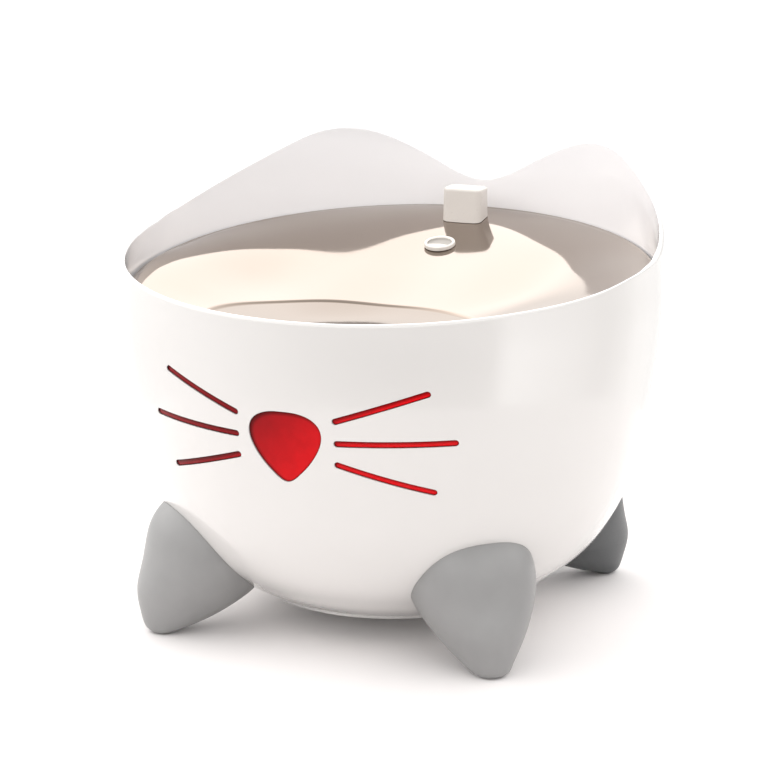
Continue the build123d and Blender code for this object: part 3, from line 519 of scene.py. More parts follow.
mat_lens = lens_material()
mat_cap = surface("cap_white", (0.71, 0.67, 0.63), rough=0.32, vary=0.006, scale=60, fine=900, bump_mm=0.004, coat=0.1, strength=0.06)
mat_float = surface("float_white", (0.78, 0.74, 0.69), rough=0.4, vary=0.015, scale=80, fine=1100, bump_mm=0.015, strength=0.15)
mat_gasket = surface("gasket_silicone", (0.55, 0.54, 0.53), rough=0.55, vary=0.03, scale=90, fine=1400, bump_mm=0.02)
mat_tank = surface("tank_plastic", (0.66, 0.67, 0.68), rough=0.4, vary=0.02, scale=30, fine=900, bump_mm=0.015)
mat_base = surface("base_plastic", (0.62, 0.61, 0.6), rough=0.5, vary=0.03, scale=40, fine=1200, bump_mm=0.04)
mat_rubber = surface("pad_rubber", (0.045, 0.045, 0.047), rough=0.7, vary=0.12, scale=120, fine=1600, bump_mm=0.04)
mat_seal = surface("seal_rubber", (0.03, 0.03, 0.032), rough=0.6, vary=0.12, scale=120, fine=1600, bump_mm=0.03)
mat_pump = surface("pump_plastic", (0.035, 0.036, 0.04), rough=0.38, vary=0.1, scale=60, fine=1100, bump_mm=0.03)
mat_board = surface("board_mask", (0.02, 0.17, 0.07), rough=0.3, vary=0.15, scale=240, fine=1800, bump_mm=0.02)
mat_led = surface("led_amber", (0.85, 0.7, 0.25), rough=0.2, vary=0.1, scale=500, fine=2000, bump_mm=0.01)
mat_screw = surface("screw_steel", (0.6, 0.59, 0.57), rough=0.28, vary=0.06, scale=300, fine=2500, bump_mm=0.01, metallic=1.0)
mat_shaft = surface("shaft_ground", (0.66, 0.65, 0.64), rough=0.15, vary=0.04, scale=200, fine=2500, bump_mm=0.004, metallic=1.0, stretch=(1, 0.05, 1))
mat_foam = surface("foam_open", (0.05, 0.052, 0.06), rough=0.95, vary=0.4, scale=700, fine=1100, bump_mm=0.6, strength=0.9, sheen=0.2)
mat_cup = surface("cup_silicone", (0.5, 0.5, 0.5), rough=0.5, vary=0.03, scale=120, fine=1200, bump_mm=0.01, transmission=0.3)
mat_tube = surface("tube_silicone", (0.7, 0.7, 0.69), rough=0.35, vary=0.03, scale=80, fine=900, bump_mm=0.02, transmission=0.25)
mat_rotor = surface("rotor_plastic", (0.72, 0.72, 0.7), rough=0.4, vary=0.03, scale=120, fine=1300, bump_mm=0.02)
mat_magnet = surface("magnet_ground", (0.06, 0.058, 0.056), rough=0.45, vary=0.2, scale=200, fine=1800, bump_mm=0.03, spec=0.6)
mat_tab = surface("filter_tab", (0.05, 0.16, 0.32), rough=0.4, vary=0.05, scale=120, fine=1300, bump_mm=0.02)
mat_milk = surface("diffuser_milk", (0.8, 0.78, 0.75), rough=0.6, vary=0.02, scale=90, fine=1200, bump_mm=0.02, transmission=0.3)
mat_socket = surface("socket_black", (0.02, 0.02, 0.022), rough=0.42, vary=0.15, scale=200, fine=1500, bump_mm=0.03)
mat_cloth = surface("filter_cloth", (0.72, 0.72, 0.7), rough=0.9, vary=0.08, scale=260, fine=1900, bump_mm=0.35, strength=0.7, sheen=0.3)

by_node = {
    "outer_shell": mat_shell, "nose_lens": mat_lens, "whisker_lens_left": mat_lens, "whisker_lens_right": mat_lens, "light_diffuser": mat_milk,
    "led_board": mat_board, "leds": mat_led, "led_board_screws": mat_screw, "reservoir": mat_tank, "bottom_cover": mat_base,
    "bottom_cover_screws": mat_screw, "control_board": mat_board, "dc_inlet_socket": mat_socket, "inlet_seal": mat_seal,
    "foot_front_left": mat_foot, "foot_front_right": mat_foot, "foot_rear_left": mat_foot_rear_painted_shade, "foot_rear_right": mat_foot_rear_painted_shade, "foot_pads": mat_rubber,
    "foot_screws": mat_screw, "pump_body": mat_pump, "pump_cover": mat_pump, "intake_foam": mat_foam, "impeller_shaft": mat_shaft,
    "shaft_bushes": mat_seal, "pump_suction_cups": mat_cup, "outlet_tube": mat_tube, "filter_holder": mat_tank, "tray_gasket": mat_gasket,
    "drinking_tray": mat_steel, "spout_neck": mat_tank, "spout_seat": mat_tank, "float_guide": mat_float, "drain_strainer": mat_tank,
    "spout_cap": mat_cap, "level_float": mat_float, "float_bulb": mat_float, "impeller": mat_rotor, "impeller_magnet": mat_magnet,
    "filter_cartridge": mat_cloth, "filter_pull_tab": mat_tab}
for name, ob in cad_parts.items():
    ob.data.materials.clear()
    ob.data.materials.append(by_node.get(name, mat_base))

# ------------------------------------------------------------------ shell
COLS = 480
th = np.linspace(0, 2 * math.pi, COLS, endpoint=False)
cs, sn = np.cos(th), np.sin(th)
Z_SPLIT = 150.0
# rows of constant height up to Z_SPLIT, spaced along the curve
zz = np.linspace(12.8, Z_SPLIT, 2000)
arc = np.concatenate([[0], np.cumsum(np.hypot(np.diff(zz), np.diff(r_outer(zz))))])
z_rows = np.interp(np.linspace(0, arc[-1], 112), arc, zz)


def rim_at(r):
    h = rim_height(r * cs, r * sn)
    ker = np.exp(-0.5 * (np.arange(-6, 7) / 2.4) ** 2)
    ker /= ker.sum()
    soft = sum(k * np.roll(h, s) for k, s in zip(ker, range(-6, 7)))
    w = np.clip((np.abs(cs) - 0.93) / 0.03, 0, 1)
    return h * (1 - w) + soft * w


top_out, top_in = rim_at(125.2), rim_at(122.9)
ROUND = 1.0
rows = []
r_base = 63.0
for r in (52.0, 55.0, 59.0, 62.0):
    rows.append(np.stack([r * cs, r * sn, np.full(COLS, 12.8)], axis=1))
first_outer = len(rows)
for z in z_rows:
    r = float(r_outer(z))
    rows.append(np.stack([r * cs, r * sn, np.full(COLS, z)], axis=1))
last_outer = len(rows) - 1
for t in np.linspace(0, 1, 30)[1:]:
    z = Z_SPLIT + (top_out - ROUND - Z_SPLIT) * t
    r = r_outer(z)
    rows.append(np.stack([r * cs, r * sn, z], axis=1))
mid, half = (125.2 + 122.9) / 2, (125.2 - 122.9) / 2
for t in np.linspace(0, math.pi, 14)[1:-1]:
    r = mid + half * math.copysign(abs(math.cos(t)) ** 0.8, math.cos(t))
    w = (125.2 - r) / 2.3
    z = top_out * (1 - w) + top_in * w - ROUND + ROUND * math.sin(t) ** 0.8
    rows.append(np.stack([r * cs, r * sn, z], axis=1))
for t in np.linspace(0, 1, 20)[:-1]:
    z = top_in - ROUND + (Z_SPLIT - top_in + ROUND) * t
    r = r_inner(z)
    rows.append(np.stack([r * cs, r * sn, z], axis=1))
first_inner = len(rows)
zi_rows = np.concatenate([np.linspace(Z_SPLIT, 60, 60), np.linspace(60, 32, 16)[1:], np.linspace(32, 15.0, 22)[1:]])
for z in zi_rows:
    r = float(r_inner(z))
    rows.append(np.stack([r * cs, r * sn, np.full(COLS, z)], axis=1))
rows.append(np.stack([52.0 * cs, 52.0 * sn, np.full(COLS, 15.3)], axis=1))
rows.append(np.stack([52.0 * cs, 52.0 * sn, np.full(COLS, 12.8)], axis=1))
shell_pts = np.stack(rows)
skin = Skin(shell_pts)


def angle_cols(a0, a1):
    return int(math.floor(a0 / (2 * math.pi) * COLS)), int(math.ceil(a1 / (2 * math.pi) * COLS))


def surf_place(rf, face, shift=0.0):
    def go(loop):
        # loop in flat (angle * 120, z)
        a, z = loop[:, 0] / 120.0, loop[:, 1]
        r = rf(z)
        d = (rf(z + 0.05) - rf(z - 0.05)) / 0.1
        xyz = np.stack([r * np.cos(a), r * np.sin(a), z], axis=1)
        n = np.stack([np.cos(a), np.sin(a), -d], axis=1)
        n /= np.linalg.norm(n, axis=1, keepdims=True)
        return xyz, n * face
    return go


def to_flat(xz, rf, back=False):
    a = np.arcsin(xz[:, 0] / rf(xz[:, 1]))
    ang = (HALF_PI - a) if back else (-HALF_PI + a)
    return np.stack([ang * 120.0, xz[:, 1]], axis=1)


def cut(loops_xz, z0, z1, a0, a1, back=False, lip=0.35):
    i0, i1 = angle_cols(a0, a1)
    j0 = first_outer + int(np.searchsorted(z_rows, z0))
    j1 = first_outer + int(np.searchsorted(z_rows, z1))
    uv = lambda j, i: (2 * math.pi * i / COLS * 120.0, shell_pts[j, 0, 2])
    grown = [grow_loop(lp, lip) for lp in loops_xz]
    outer = skin.block(j0, j1, i0, i1, uv, [to_flat(g[0], r_outer, back) for g in grown], surf_place(r_outer, 1), 0.5)
    ja = first_inner + int(np.argmax(zi_rows <= z1))
    jb = first_inner + int(np.argmax(zi_rows <= z0))
    inner = skin.block(ja, jb, i0, i1, uv, [to_flat(lp, r_inner, back) for lp in loops_xz], surf_place(r_inner, -1), 0.5)
    sgn = 1.0 if back else -1.0
    for lp, (g, nrm), a, d in zip(loops_xz, grown, outer, inner):
        mid_loop = lp + nrm * lip * 0.3

        def on(xz, depth):
            r = r_outer(xz[:, 1])
            y = sgn * (np.sqrt(r * r - xz[:, 0] ** 2) - depth)
            return np.stack([xz[:, 0], y, xz[:, 1]], axis=1)
        wall_n = np.stack([-nrm[:, 0], np.zeros(len(nrm)), -nrm[:, 1]], axis=1)
        surf_n = np.array([skin.n[k] for k in a])
        mix = surf_n + wall_n
        mix /= np.linalg.norm(mix, axis=1, keepdims=True)
        b = skin.ring(on(mid_loop, 0.10), mix)
        c = skin.ring(on(lp, 0.38), wall_n)
        skin.bridge(a, b)
        skin.bridge(b, c)
        skin.bridge(c, d)


cut([nose_loop] + bar_loops[1] + bar_loops[-1], 78.0, 142.0, -HALF_PI - 0.74, -HALF_PI + 0.74)
bore_loop = np.array([(5.0 * math.cos(t), 21.5 + 5.0 * math.sin(t)) for t in np.linspace(0, 2 * math.pi, 36, endpoint=False)])
cut([bore_loop], 15.2, 30.0, HALF_PI - 0.16, HALF_PI + 0.16, back=True, lip=0.3)
skin.close()
shell_faces = fix_winding(skin.v, skin.f)
shell = add_mesh("shell_skin", skin.v, shell_faces, mat_shell, "housing", ("outer_shell",), skin.n)
# marks the inner wall faces that keep the brighter tone of the painted light
inner_wall_painted_light = []
for poly in shell.data.polygons:
    c, n = poly.center, poly.normal
    out = (c.x * n.x + c.y * n.y) / max(math.hypot(c.x, c.y), 1e-6)
    inner_wall_painted_light.append(1.0 if c.z > 0.14 and out < 0.45 else 0.0)
at = shell.data.attributes.new("inner_wall_painted_light", "FLOAT", "FACE")
at.data.foreach_set("value", inner_wall_painted_light)


def lathe(profile, n, origin=(0, 0, 0), axis=(0, 0, 1), side=(1, 0, 0)):
    """Turned shape: profile of (radius, height along the axis). Closed at both ends where the radius is 0."""
    o, w = np.array(origin, float), np.array(axis, float)
    w /= np.linalg.norm(w)
    u = np.array(side, float)
    u -= w * (u @ w)
    u /= np.linalg.norm(u)
    t = np.cross(w, u)
    v, f, ring_ids = [], [], []
    for r, h in profile:
        if r < 1e-6:
            v.append(o + w * h)
            ring_ids.append([len(v) - 1])
        else:
            ids = []
            for k in range(n):
                a = 2 * math.pi * k / n
                v.append(o + w * h + (u * math.cos(a) + t * math.sin(a)) * r)
                ids.append(len(v) - 1)
            ring_ids.append(ids)
    for a, b in zip(ring_ids, ring_ids[1:]):
        if len(a) == 1 and len(b) == 1:
            continue
        for k in range(n):
            k1 = (k + 1) % n
            if len(a) == 1:
                f.append((a[0], b[k1], b[k]))
            elif len(b) == 1:
                f.append((a[k], a[k1], b[0]))
            else:
                f.append((a[k], a[k1], b[k1], b[k]))
    return np.array(v), f


def rounded(points, r=0.4, n=4):
    """Profile with its inner corners rounded by r."""
    out = [points[0]]
    for a, b, c in zip(points, points[1:], points[2:]):
        a, b, c = np.array(a, float), np.array(b, float), np.array(c, float)
        la, lc = np.linalg.norm(a - b), np.linalg.norm(c - b)
        k = min(r, la * 0.45, lc * 0.45)
        p, q = b + (a - b) / la * k, b + (c - b) / lc * k
        for s in np.linspace(0, 1, n + 1):
            out.append(tuple((1 - s) ** 2 * p + 2 * s * (1 - s) * b + s * s * q))
    out.append(points[-1])
    return out


def turned(name, profile, mat, body, replaces=(), slot=None, n=64, sharp=None, **place):
    v, f = lathe(profile, n, **place)
    f = fix_winding(v, f)
    ob = add_mesh(name, v, f, mat, body, replaces)
    if sharp:
        ob.data.set_sharp_from_angle(angle=math.radians(sharp))
    return ob


# sleeve round the power inlet
turned("inlet_sleeve", rounded([(5.0, 62.0), (5.0, 84.0), (6.6, 84.0), (6.6, 62.0), (5.0, 62.0)], 0.4), mat_shell, "housing", (), "shell_white", n=64, sharp=40,
       origin=(0, 0, 21.5), axis=(0, 1, 0))


# ------------------------------------------------------------------ lenses
def plate(loop_xz, depth, thick, soft, edge=0.3):
    """Curved plate that follows the bowl under its outer surface."""
    loop_in, _ = grow_loop(loop_xz, -edge)
    lo, hi = loop_in.min(axis=0), loop_in.max(axis=0)
    step = 0.45
    gx, gz = np.meshgrid(np.arange(lo[0], hi[0], step), np.arange(lo[1], hi[1], step))
    inner = np.stack([gx.ravel(), gz.ravel()], axis=1)
    inner = inner[inside(loop_in, inner) & ~near(loop_in, inner, 0.2)]
    pts = [tuple(p) for p in loop_in] + [tuple(p) for p in inner]
    flat = np.array(pts)
    # painted shadow: points near the upper-left border, outside the outline shifted to the lower right, get the dark
    # shade
    moved = loop_xz + [0.42 * soft, -0.30 * soft]
    shade = np.where(inside(moved, flat), distance(moved, flat), 0.0) / soft
    shade = np.minimum(shade, 1.0).tolist()
    n = len(loop_in)
    ov, _, of_, orig, _, _ = delaunay_2d_cdt([(float(a), float(b)) for a, b in pts], [(k, (k + 1) % n) for k in range(n)], [], 1, 1e-7, True)
    back = [o[0] for o in orig]

    def on(xz, d):
        xz = np.asarray(xz, float)
        r = r_outer(xz[:, 1]) - d
        dr = (r_outer(xz[:, 1] + 0.05) - r_outer(xz[:, 1] - 0.05)) / 0.1
        y = -np.sqrt(np.maximum(r * r - xz[:, 0] ** 2, 1))
        p = np.stack([xz[:, 0], y, xz[:, 1]], axis=1)
        nn = np.stack([xz[:, 0] / r, y / r, -dr], axis=1)
        nn /= np.linalg.norm(nn, axis=1, keepdims=True)
        return p, nn
    v, nr = on(pts, depth)
    v, nr = list(map(tuple, v)), list(map(tuple, nr))
    f = []
    for t in of_:
        t = [back[k] for k in t]
        f.append(tuple(t))
    rings = [list(range(n))]
    for g, d in ((-edge * 0.3, depth + edge * 0.3), (0.0, depth + edge), (0.0, depth + thick)):
        lp, nn = grow_loop(loop_xz, g)
        p, _ = on(lp, d)
        start = len(v)
        v += list(map(tuple, p))
        shade += [0.0] * n
        nr += [(float(a), 0.0, float(b)) for a, b in nn] if g == 0.0 else [(0.0, 0.0, 0.0)] * n
        rings.append(list(range(start, start + n)))
    for a, b in zip(rings, rings[1:]):
        for k in range(n):
            f.append((a[k], a[(k + 1) % n], b[(k + 1) % n], b[k]))
    f.append(tuple(rings[-1]))
    return np.array(v), f, nr, shade


def lens(name, loops, node, soft):
    v, f, nr, sh = [], [], [], []
    for lp in loops:
        small, _ = grow_loop(lp, -0.12)
        a, b, c, d = plate(small, 0.7, 3.1, soft)
        sh += d
        s = len(v)
        v += list(map(tuple, a))
        f += [tuple(k + s for k in q) for q in b]
        nr += c
    f = fix_winding(v, f)
    ob = add_mesh(name, v, f, mat_lens, "housing", (node,), nr)
    # edge holds the painted shadow along the upper-left border of the hole
    at = ob.data.attributes.new("edge", "FLOAT", "POINT")
    at.data.foreach_set("value", sh)
    return ob


lens("nose_window", [nose_loop], "nose_lens", 1.7)
lens("whisker_window_right", bar_loops[1], "whisker_lens_right", 1.3)
lens("whisker_window_left", bar_loops[-1], "whisker_lens_left", 1.3)

# ------------------------------------------------------------------ drinking tray
TRAY_R, TRAY_T = 122.5, 1.2
t_rows = np.concatenate([[0.25], np.linspace(1.2, TRAY_R - 0.5, 190)])
edge_rows = [(TRAY_R - 0.22, -0.07), (TRAY_R - 0.06, -0.24), (TRAY_R, -0.6), (TRAY_R - 0.06, -0.96), (TRAY_R - 0.22, -1.13)]
u_rows = np.concatenate([np.linspace(TRAY_R - 0.5, 1.2, 120), [0.25]])
rows = []
for r in t_rows:
    x, y = r * cs, r * sn
    rows.append(np.stack([x, y, dish_z(x, y)], axis=1))
for r, d in edge_rows:
    x, y = r * cs, r * sn
    rows.append(np.stack([x, y, dish_z(x, y) + d], axis=1))
under0 = len(rows)
for r in u_rows:
    x, y = r * cs, r * sn
    rows.append(np.stack([x, y, dish_z(x, y) - TRAY_T], axis=1))
tray_pts = np.stack(rows)
# faces turn outwards when the columns run the other way
skin = Skin(tray_pts)
n_all = np.array(skin.n).reshape(len(rows), COLS, 3)


def tray_normals(x, y, up):
    e = 0.02
    gx = (dish_z(x + e, y) - dish_z(x - e, y)) / (2 * e)
    gy = (dish_z(x, y + e) - dish_z(x, y - e)) / (2 * e)
    n = np.stack([-gx, -gy, np.ones_like(gx)], axis=-1)
    n /= np.linalg.norm(n, axis=-1, keepdims=True)
    return n * up


n_all = -n_all
n_all[:len(t_rows)] = tray_normals(tray_pts[:len(t_rows), :, 0], tray_pts[:len(t_rows), :, 1], 1)
n_all[under0:] = tray_normals(tray_pts[under0:, :, 0], tray_pts[under0:, :, 1], -1)
skin.n = [tuple(p) for p in n_all.reshape(-1, 3)]


def tray_place(up):
    def go(loop):
        a, r = loop[:, 0] / 90.0, loop[:, 1]
        x, y = r * np.cos(a), r * np.sin(a)
        z = dish_z(x, y) + (0 if up > 0 else -TRAY_T)
        return np.stack([x, y, z], axis=1), tray_normals(x, y, up)
    return go


def polar_flat(xy, mid_angle):
    a = np.arctan2(xy[:, 1], xy[:, 0])
    a = np.where(a < mid_angle - math.pi, a + 2 * math.pi, np.where(a > mid_angle + math.pi, a - 2 * math.pi, a))
    return np.stack([a * 90.0, np.hypot(xy[:, 0], xy[:, 1])], axis=1)


def tray_cut(loops_xy, r0, r1, mid_angle, spread_a, lip=0.25):
    i0, i1 = angle_cols(mid_angle - spread_a, mid_angle + spread_a)
    j0, j1 = int(np.searchsorted(t_rows, r0)), int(np.searchsorted(t_rows, r1))
    ja = under0 + int(np.argmax(u_rows <= r1))
    jb = under0 + int(np.argmax(u_rows <= r0))
    grown = [grow_loop(lp, lip)[0] for lp in loops_xy]
    radius = np.concatenate([t_rows, [e[0] for e in edge_rows], u_rows])
    uv = lambda j, i: (2 * math.pi * i / COLS * 90.0, radius[j])
    a = skin.block(j0, j1, i0, i1, uv, [polar_flat(g, mid_angle) for g in grown], tray_place(1), 0.3)
    d = skin.block(ja, jb, i0, i1, uv, [polar_flat(lp, mid_angle) for lp in loops_xy], tray_place(-1), 0.3)
    for lp, ra, rd in zip(loops_xy, a, d):
        g, nrm = grow_loop(lp, lip * 0.3)
        b = skin.ring(np.stack([g[:, 0], g[:, 1], dish_z(g[:, 0], g[:, 1]) - 0.07], axis=1))
        c = skin.ring(np.stack([lp[:, 0], lp[:, 1], dish_z(lp[:, 0], lp[:, 1]) - 0.28], axis=1))
        skin.bridge(ra, b)
        skin.bridge(b, c)
        skin.bridge(c, rd)


def circle(cx, cy, r, n=48):
    t = np.linspace(0, 2 * math.pi, n, endpoint=False)
    return np.stack([cx + r * np.cos(t), cy + r * np.sin(t)], axis=1)


tray_cut([slot_loop((x, -98.0), (x, -86.0), 2.6) for x in (-21, -14, -7, 0, 7, 14, 21)], 80.0, 106.0, -HALF_PI, 0.36)
FLOAT_Y = 63.3
tray_cut([circle(0.0, FLOAT_Y, 5.4)], 54.0, 73.0, HALF_PI, 0.15)
tray_cut([circle(0.0, 99.0, 3.8)], 92.0, 106.0, HALF_PI, 0.08)
skin.close()
skin.f.append(tuple(range(COLS)))
skin.f.append(tuple((len(rows) - 1) * COLS + k for k in range(COLS)))
tray_faces = fix_winding(skin.v, skin.f)
tray = add_mesh("tray_dish", skin.v, tray_faces, mat_steel, "tray", ("drinking_tray",), skin.n)

# ------------------------------------------------------------------ outlet cap
BLOCK_W, BLOCK_D, BLOCK_H, BLOCK_Y = 20.2, 14.0, 16.5, 99.0
block_z = float(dish_z(0.0, 92.0)) + 0.4


def rounded_rect(w, d, r, n=10, run=8):
    w, d = w / 2, d / 2
    out = []
    corners = [(w - r, d - r, 0), (-w + r, d - r, 1), (-w + r, -d + r, 2), (w - r, -d + r, 3)]
    for cx, cy, q in corners:
        for k in range(n + 1):
            t = HALF_PI * (q + k / n)
            out.append((cx + r * math.cos(t), cy + r * math.sin(t)))
        nx, ny, _ = corners[(q + 1) % 4]
        t1 = HALF_PI * (q + 1)
        e0 = np.array(out[-1])
        e1 = np.array([nx + r * math.cos(t1), ny + r * math.sin(t1)])
        for k in range(1, run):
            out.append(tuple(e0 + (e1 - e0) * k / run))
    return np.array(out)


def block_mesh(w, d, r, z0, z1, taper, top_r, floor_gap, centre_y, hollow):
    """Drafted block with a rounded top and a foot that follows the dish."""
    def outline(z, inset=0.0):
        k = (z - z0) * math.tan(math.radians(taper)) + inset
        p = rounded_rect(w - 2 * k, d - 2 * k, max(r - k * 0.6, 0.6))
        return p + [0, centre_y]
    rings = []
    base = outline(z0)
    foot = dish_z(base[:, 0], base[:, 1]) + floor_gap
    rings.append(np.stack([base[:, 0], base[:, 1], foot + 0.0], axis=1) * [1, 1, 1])
    low = outline(z0)
    rings[0][:, :2] = (low - [0, centre_y]) * 0.985 + [0, centre_y]
    for t in (0.25, 0.6):
        rings.append(np.stack([low[:, 0], low[:, 1], foot + 0.5 * t], axis=1))
    for t in np.linspace(0.1, 1, 14):
        z = z0 + (z1 - top_r - z0) * t
        p = outline(z)
        rings.append(np.stack([p[:, 0], p[:, 1], np.maximum(z, foot + 0.4 + 0.3 * t)], axis=1))
    for a in np.linspace(0, HALF_PI, 8)[1:]:
        z = z1 - top_r + top_r * math.sin(a)
        p = outline(z1 - top_r, top_r * (1 - math.cos(a)))
        rings.append(np.stack([p[:, 0], p[:, 1], np.full(len(p), z)], axis=1))
    last = rings[-1]
    c = last.mean(axis=0)
    for s in (0.7, 0.4, 0.15):
        q = (last - c) * s + c
        q[:, 2] = z1 + 0.12 * (1 - s * s)
        rings.append(q)
    n = len(last)
    v = np.concatenate(rings)
    f = []
    for k in range(len(rings) - 1):
        for i in range(n):
            f.append((k * n + i, k * n + (i + 1) % n, (k + 1) * n + (i + 1) % n, (k + 1) * n + i))
    f.append(tuple((len(rings) - 1) * n + i for i in range(n)))
    # inside
    start = len(v)
    inner = []
    for z in (None, z0 + 5.0, z1 - 1.8):
        zz = z0 if z is None else z
        k = (zz - z0) * math.tan(math.radians(taper)) + hollow
        p = rounded_rect(w - 2 * k, d - 2 * k, 1.8) + [0, centre_y]
        h = dish_z(p[:, 0], p[:, 1]) + floor_gap if z is None else np.full(n, zz)
        inner.append(np.stack([p[:, 0], p[:, 1], h], axis=1))
    v = np.concatenate([v] + inner)
    for i in range(n):
        f.append((i, (i + 1) % n, start + (i + 1) % n, start + i))
    for k in range(2):
        for i in range(n):
            a = start + k * n
            f.append((a + i, a + (i + 1) % n, a + n + (i + 1) % n, a + n + i))
    f.append(tuple(start + 2 * n + i for i in range(n)))
    return v, fix_winding(v, f)


v, f = block_mesh(BLOCK_W, BLOCK_D, 3.2, block_z, block_z + BLOCK_H, 1.0, 1.3, 0.12, BLOCK_Y, 1.7)
cap = add_mesh("outlet_cap", v, f, mat_cap, "cap", ("spout_cap",))
cap.data.set_sharp_from_angle(angle=math.radians(50))

# ------------------------------------------------------------------ level float
slope = float(dish_z(0.0, FLOAT_Y + 6.0) - dish_z(0.0, FLOAT_Y - 6.0)) / 12.0
f_axis = (0.0, -slope, 1.0)
f_origin = (0.0, FLOAT_Y, float(dish_z(0.0, FLOAT_Y)))
float_profile = rounded([(0.0, 1.15), (5.6, 1.15), (6.1, 2.35), (7.5, 2.35), (7.5, 0.2), (3.6, 0.2), (3.6, -20.9), (0.0, -20.9)], 0.6, 6)
# painted shade: the floor of the float's recess is darkened, standing in for the shade in the hollow
tinted(mat_float, mat_float.node_tree.nodes.new("ShaderNodeAttribute").outputs["Fac"], (1.0, 1.0, 1.0), (0.46, 0.45, 0.44))
next(n for n in mat_float.node_tree.nodes if n.type == "ATTRIBUTE").attribute_name = "recess_painted_shade"
disc = turned("float_disc", float_profile, mat_float, "float", ("level_float",), "float_plastic", n=72, sharp=60, origin=f_origin, axis=f_axis)
# marks the recess floor faces that get the painted shade
recess_painted_shade = []
for poly in disc.data.polygons:
    c = np.array(poly.center) / MM - f_origin
    recess_painted_shade.append(1.0 if math.hypot(c[0], c[1] + slope * c[2]) < 5.95 and c[2] > 1.0 else 0.0)
at = disc.data.attributes.new("recess_painted_shade", "FLOAT", "FACE")
at.data.foreach_set("value", recess_painted_shade)

# ------------------------------------------------------------------ feet
foot_sections = [(0.5, 115.0, 5.0, 5.5), (2.0, 113.6, 8.2, 8.4), (4.5, 109.9, 13.4, 10.8), (10.0, 103.9, 20.8, 15.2), (20.0, 97.2, 28.7, 22.0),
                 (32.0, 93.4, 29.2, 27.8), (43.0, 94.2, 26.0, 27.8), (54.0, 96.6, 19.1, 23.3), (62.0, 97.4, 9.4, 17.0)]
foot_c = Cubic([s[0] for s in foot_sections], np.array([s[1:] for s in foot_sections]))


def shell_r(z):
    return np.where(z < 12.8, 0.0, r_outer(np.maximum(z, 12.8)) + 0.12)


def foot_mesh(angle):
    ca, sa = math.cos(math.radians(angle)), math.sin(math.radians(angle))
    # top of the foot, where its outermost point meets the shell
    zt = 59.0
    for _ in range(60):
        rc, a, b = foot_c(zt)
        zt -= 0.2 * ((shell_r(zt) + 0.02) - (rc + a)) / 3.0
    zs = np.concatenate([[0.5, 0.6, 0.85], np.linspace(1.2, 6.0, 14), np.linspace(6.0, zt - 2.0, 66)[1:], zt - 2.0 * (1 - np.linspace(0, 1, 9)[1:-1]) ** 2, [zt - 0.02]])
    N = 96
    rows = []
    for j, z in enumerate(zs):
        rc, a, b = foot_c(z)
        if j < 3:
            k = (0.86, 0.95, 1.0)[j]
            rc0, a0, b0 = foot_c(0.85)
            rc, a, b = rc0, a0 * k, b0 * k
        R = float(shell_r(z))
        lo, hi = 0.0, math.pi
        f_out = lambda p: math.hypot(rc + a * math.cos(p), b * math.sin(p)) - R
        if f_out(math.pi) > 0:
            pc = math.pi
        else:
            for _ in range(40):
                m_ = (lo + hi) / 2
                if f_out(m_) > 0:
                    lo = m_
                else:
                    hi = m_
            pc = lo
        ph = np.linspace(-pc, pc, N + 1)
        x, t = rc + a * np.cos(ph), b * np.sin(ph)
        # back along the shell
        t_b = np.linspace(t[-1], t[0], 13)[1:-1]
        x_b = np.sqrt(np.maximum(R * R - t_b ** 2, 0)) if pc < math.pi - 1e-6 else np.full(11, x[0])
        row = np.stack([np.concatenate([x, x_b]), np.concatenate([t, t_b]), np.full(N + 12, z)], axis=1)
        rows.append(row)
    P = np.stack(rows)
    n = P.shape[1]
    v = P.reshape(-1, 3)
    out = np.stack([v[:, 0] * ca - v[:, 1] * sa, v[:, 0] * sa + v[:, 1] * ca, v[:, 2]], axis=1)
    f = []
    for j in range(len(zs) - 1):
        for i in range(n):
            f.append((j * n + i, j * n + (i + 1) % n, (j + 1) * n + (i + 1) % n, (j + 1) * n + i))
    f.append(tuple(range(n)))
    f.append(tuple((len(zs) - 1) * n + i for i in range(n)))
    return out, f


def weld(v, f, d=1e-4):
    import bmesh
    me = bpy.data.meshes.new("tmp")
    me.from_pydata([tuple(p) for p in v], [], f)
    bm = bmesh.new()
    bm.from_mesh(me)
    bmesh.ops.remove_doubles(bm, verts=bm.verts, dist=d)
    bmesh.ops.dissolve_degenerate(bm, dist=d, edges=bm.edges)
    bmesh.ops.recalc_face_normals(bm, faces=bm.faces)
    bm.verts.ensure_lookup_table()
    vv = [tuple(x.co) for x in bm.verts]
    bm.verts.index_update()
    ff = [tuple(x.index for x in face.verts) for face in bm.faces]
    bm.free()
    bpy.data.meshes.remove(me)
    return vv, ff


for name, ang in (("front_left", -134.4), ("front_right", -45.6), ("rear_right", 45.6), ("rear_left", 134.4)):
    v, f = foot_mesh(ang)
    v, f = weld(v, f)
    # the rear feet take the painted shade material
    ob = add_mesh("foot_body_" + name, v, f, mat_foot if "front" in name else mat_foot_rear_painted_shade, "housing", ("foot_" + name,))
    ob.data.set_sharp_from_angle(angle=math.radians(38))

# ------------------------------------------------------------------ floor and light
floor_me = bpy.data.meshes.new("floor")
ring96 = [(0.36 * math.cos(k * math.tau / 96), 0.36 * math.sin(k * math.tau / 96), 0.0) for k in range(96)]
floor_me.from_pydata(ring96, [], [tuple(range(96))])
floor = bpy.data.objects.new("floor", floor_me)
scene.collection.objects.link(floor)
mat_floor, nt, b = new_material("floor_paper")
b.inputs["Base Color"].default_value = (0.885, 0.862, 0.858, 1)
b.inputs["Roughness"].default_value = 0.8
b.inputs["Specular IOR Level"].default_value = 0.1
floor_me.materials.append(mat_floor)

world = bpy.data.worlds.new("studio")
scene.world = world
world.use_nodes = True
nt = world.node_tree
bg = nt.nodes["Background"]
co = nt.nodes.new("ShaderNodeTexCoord")


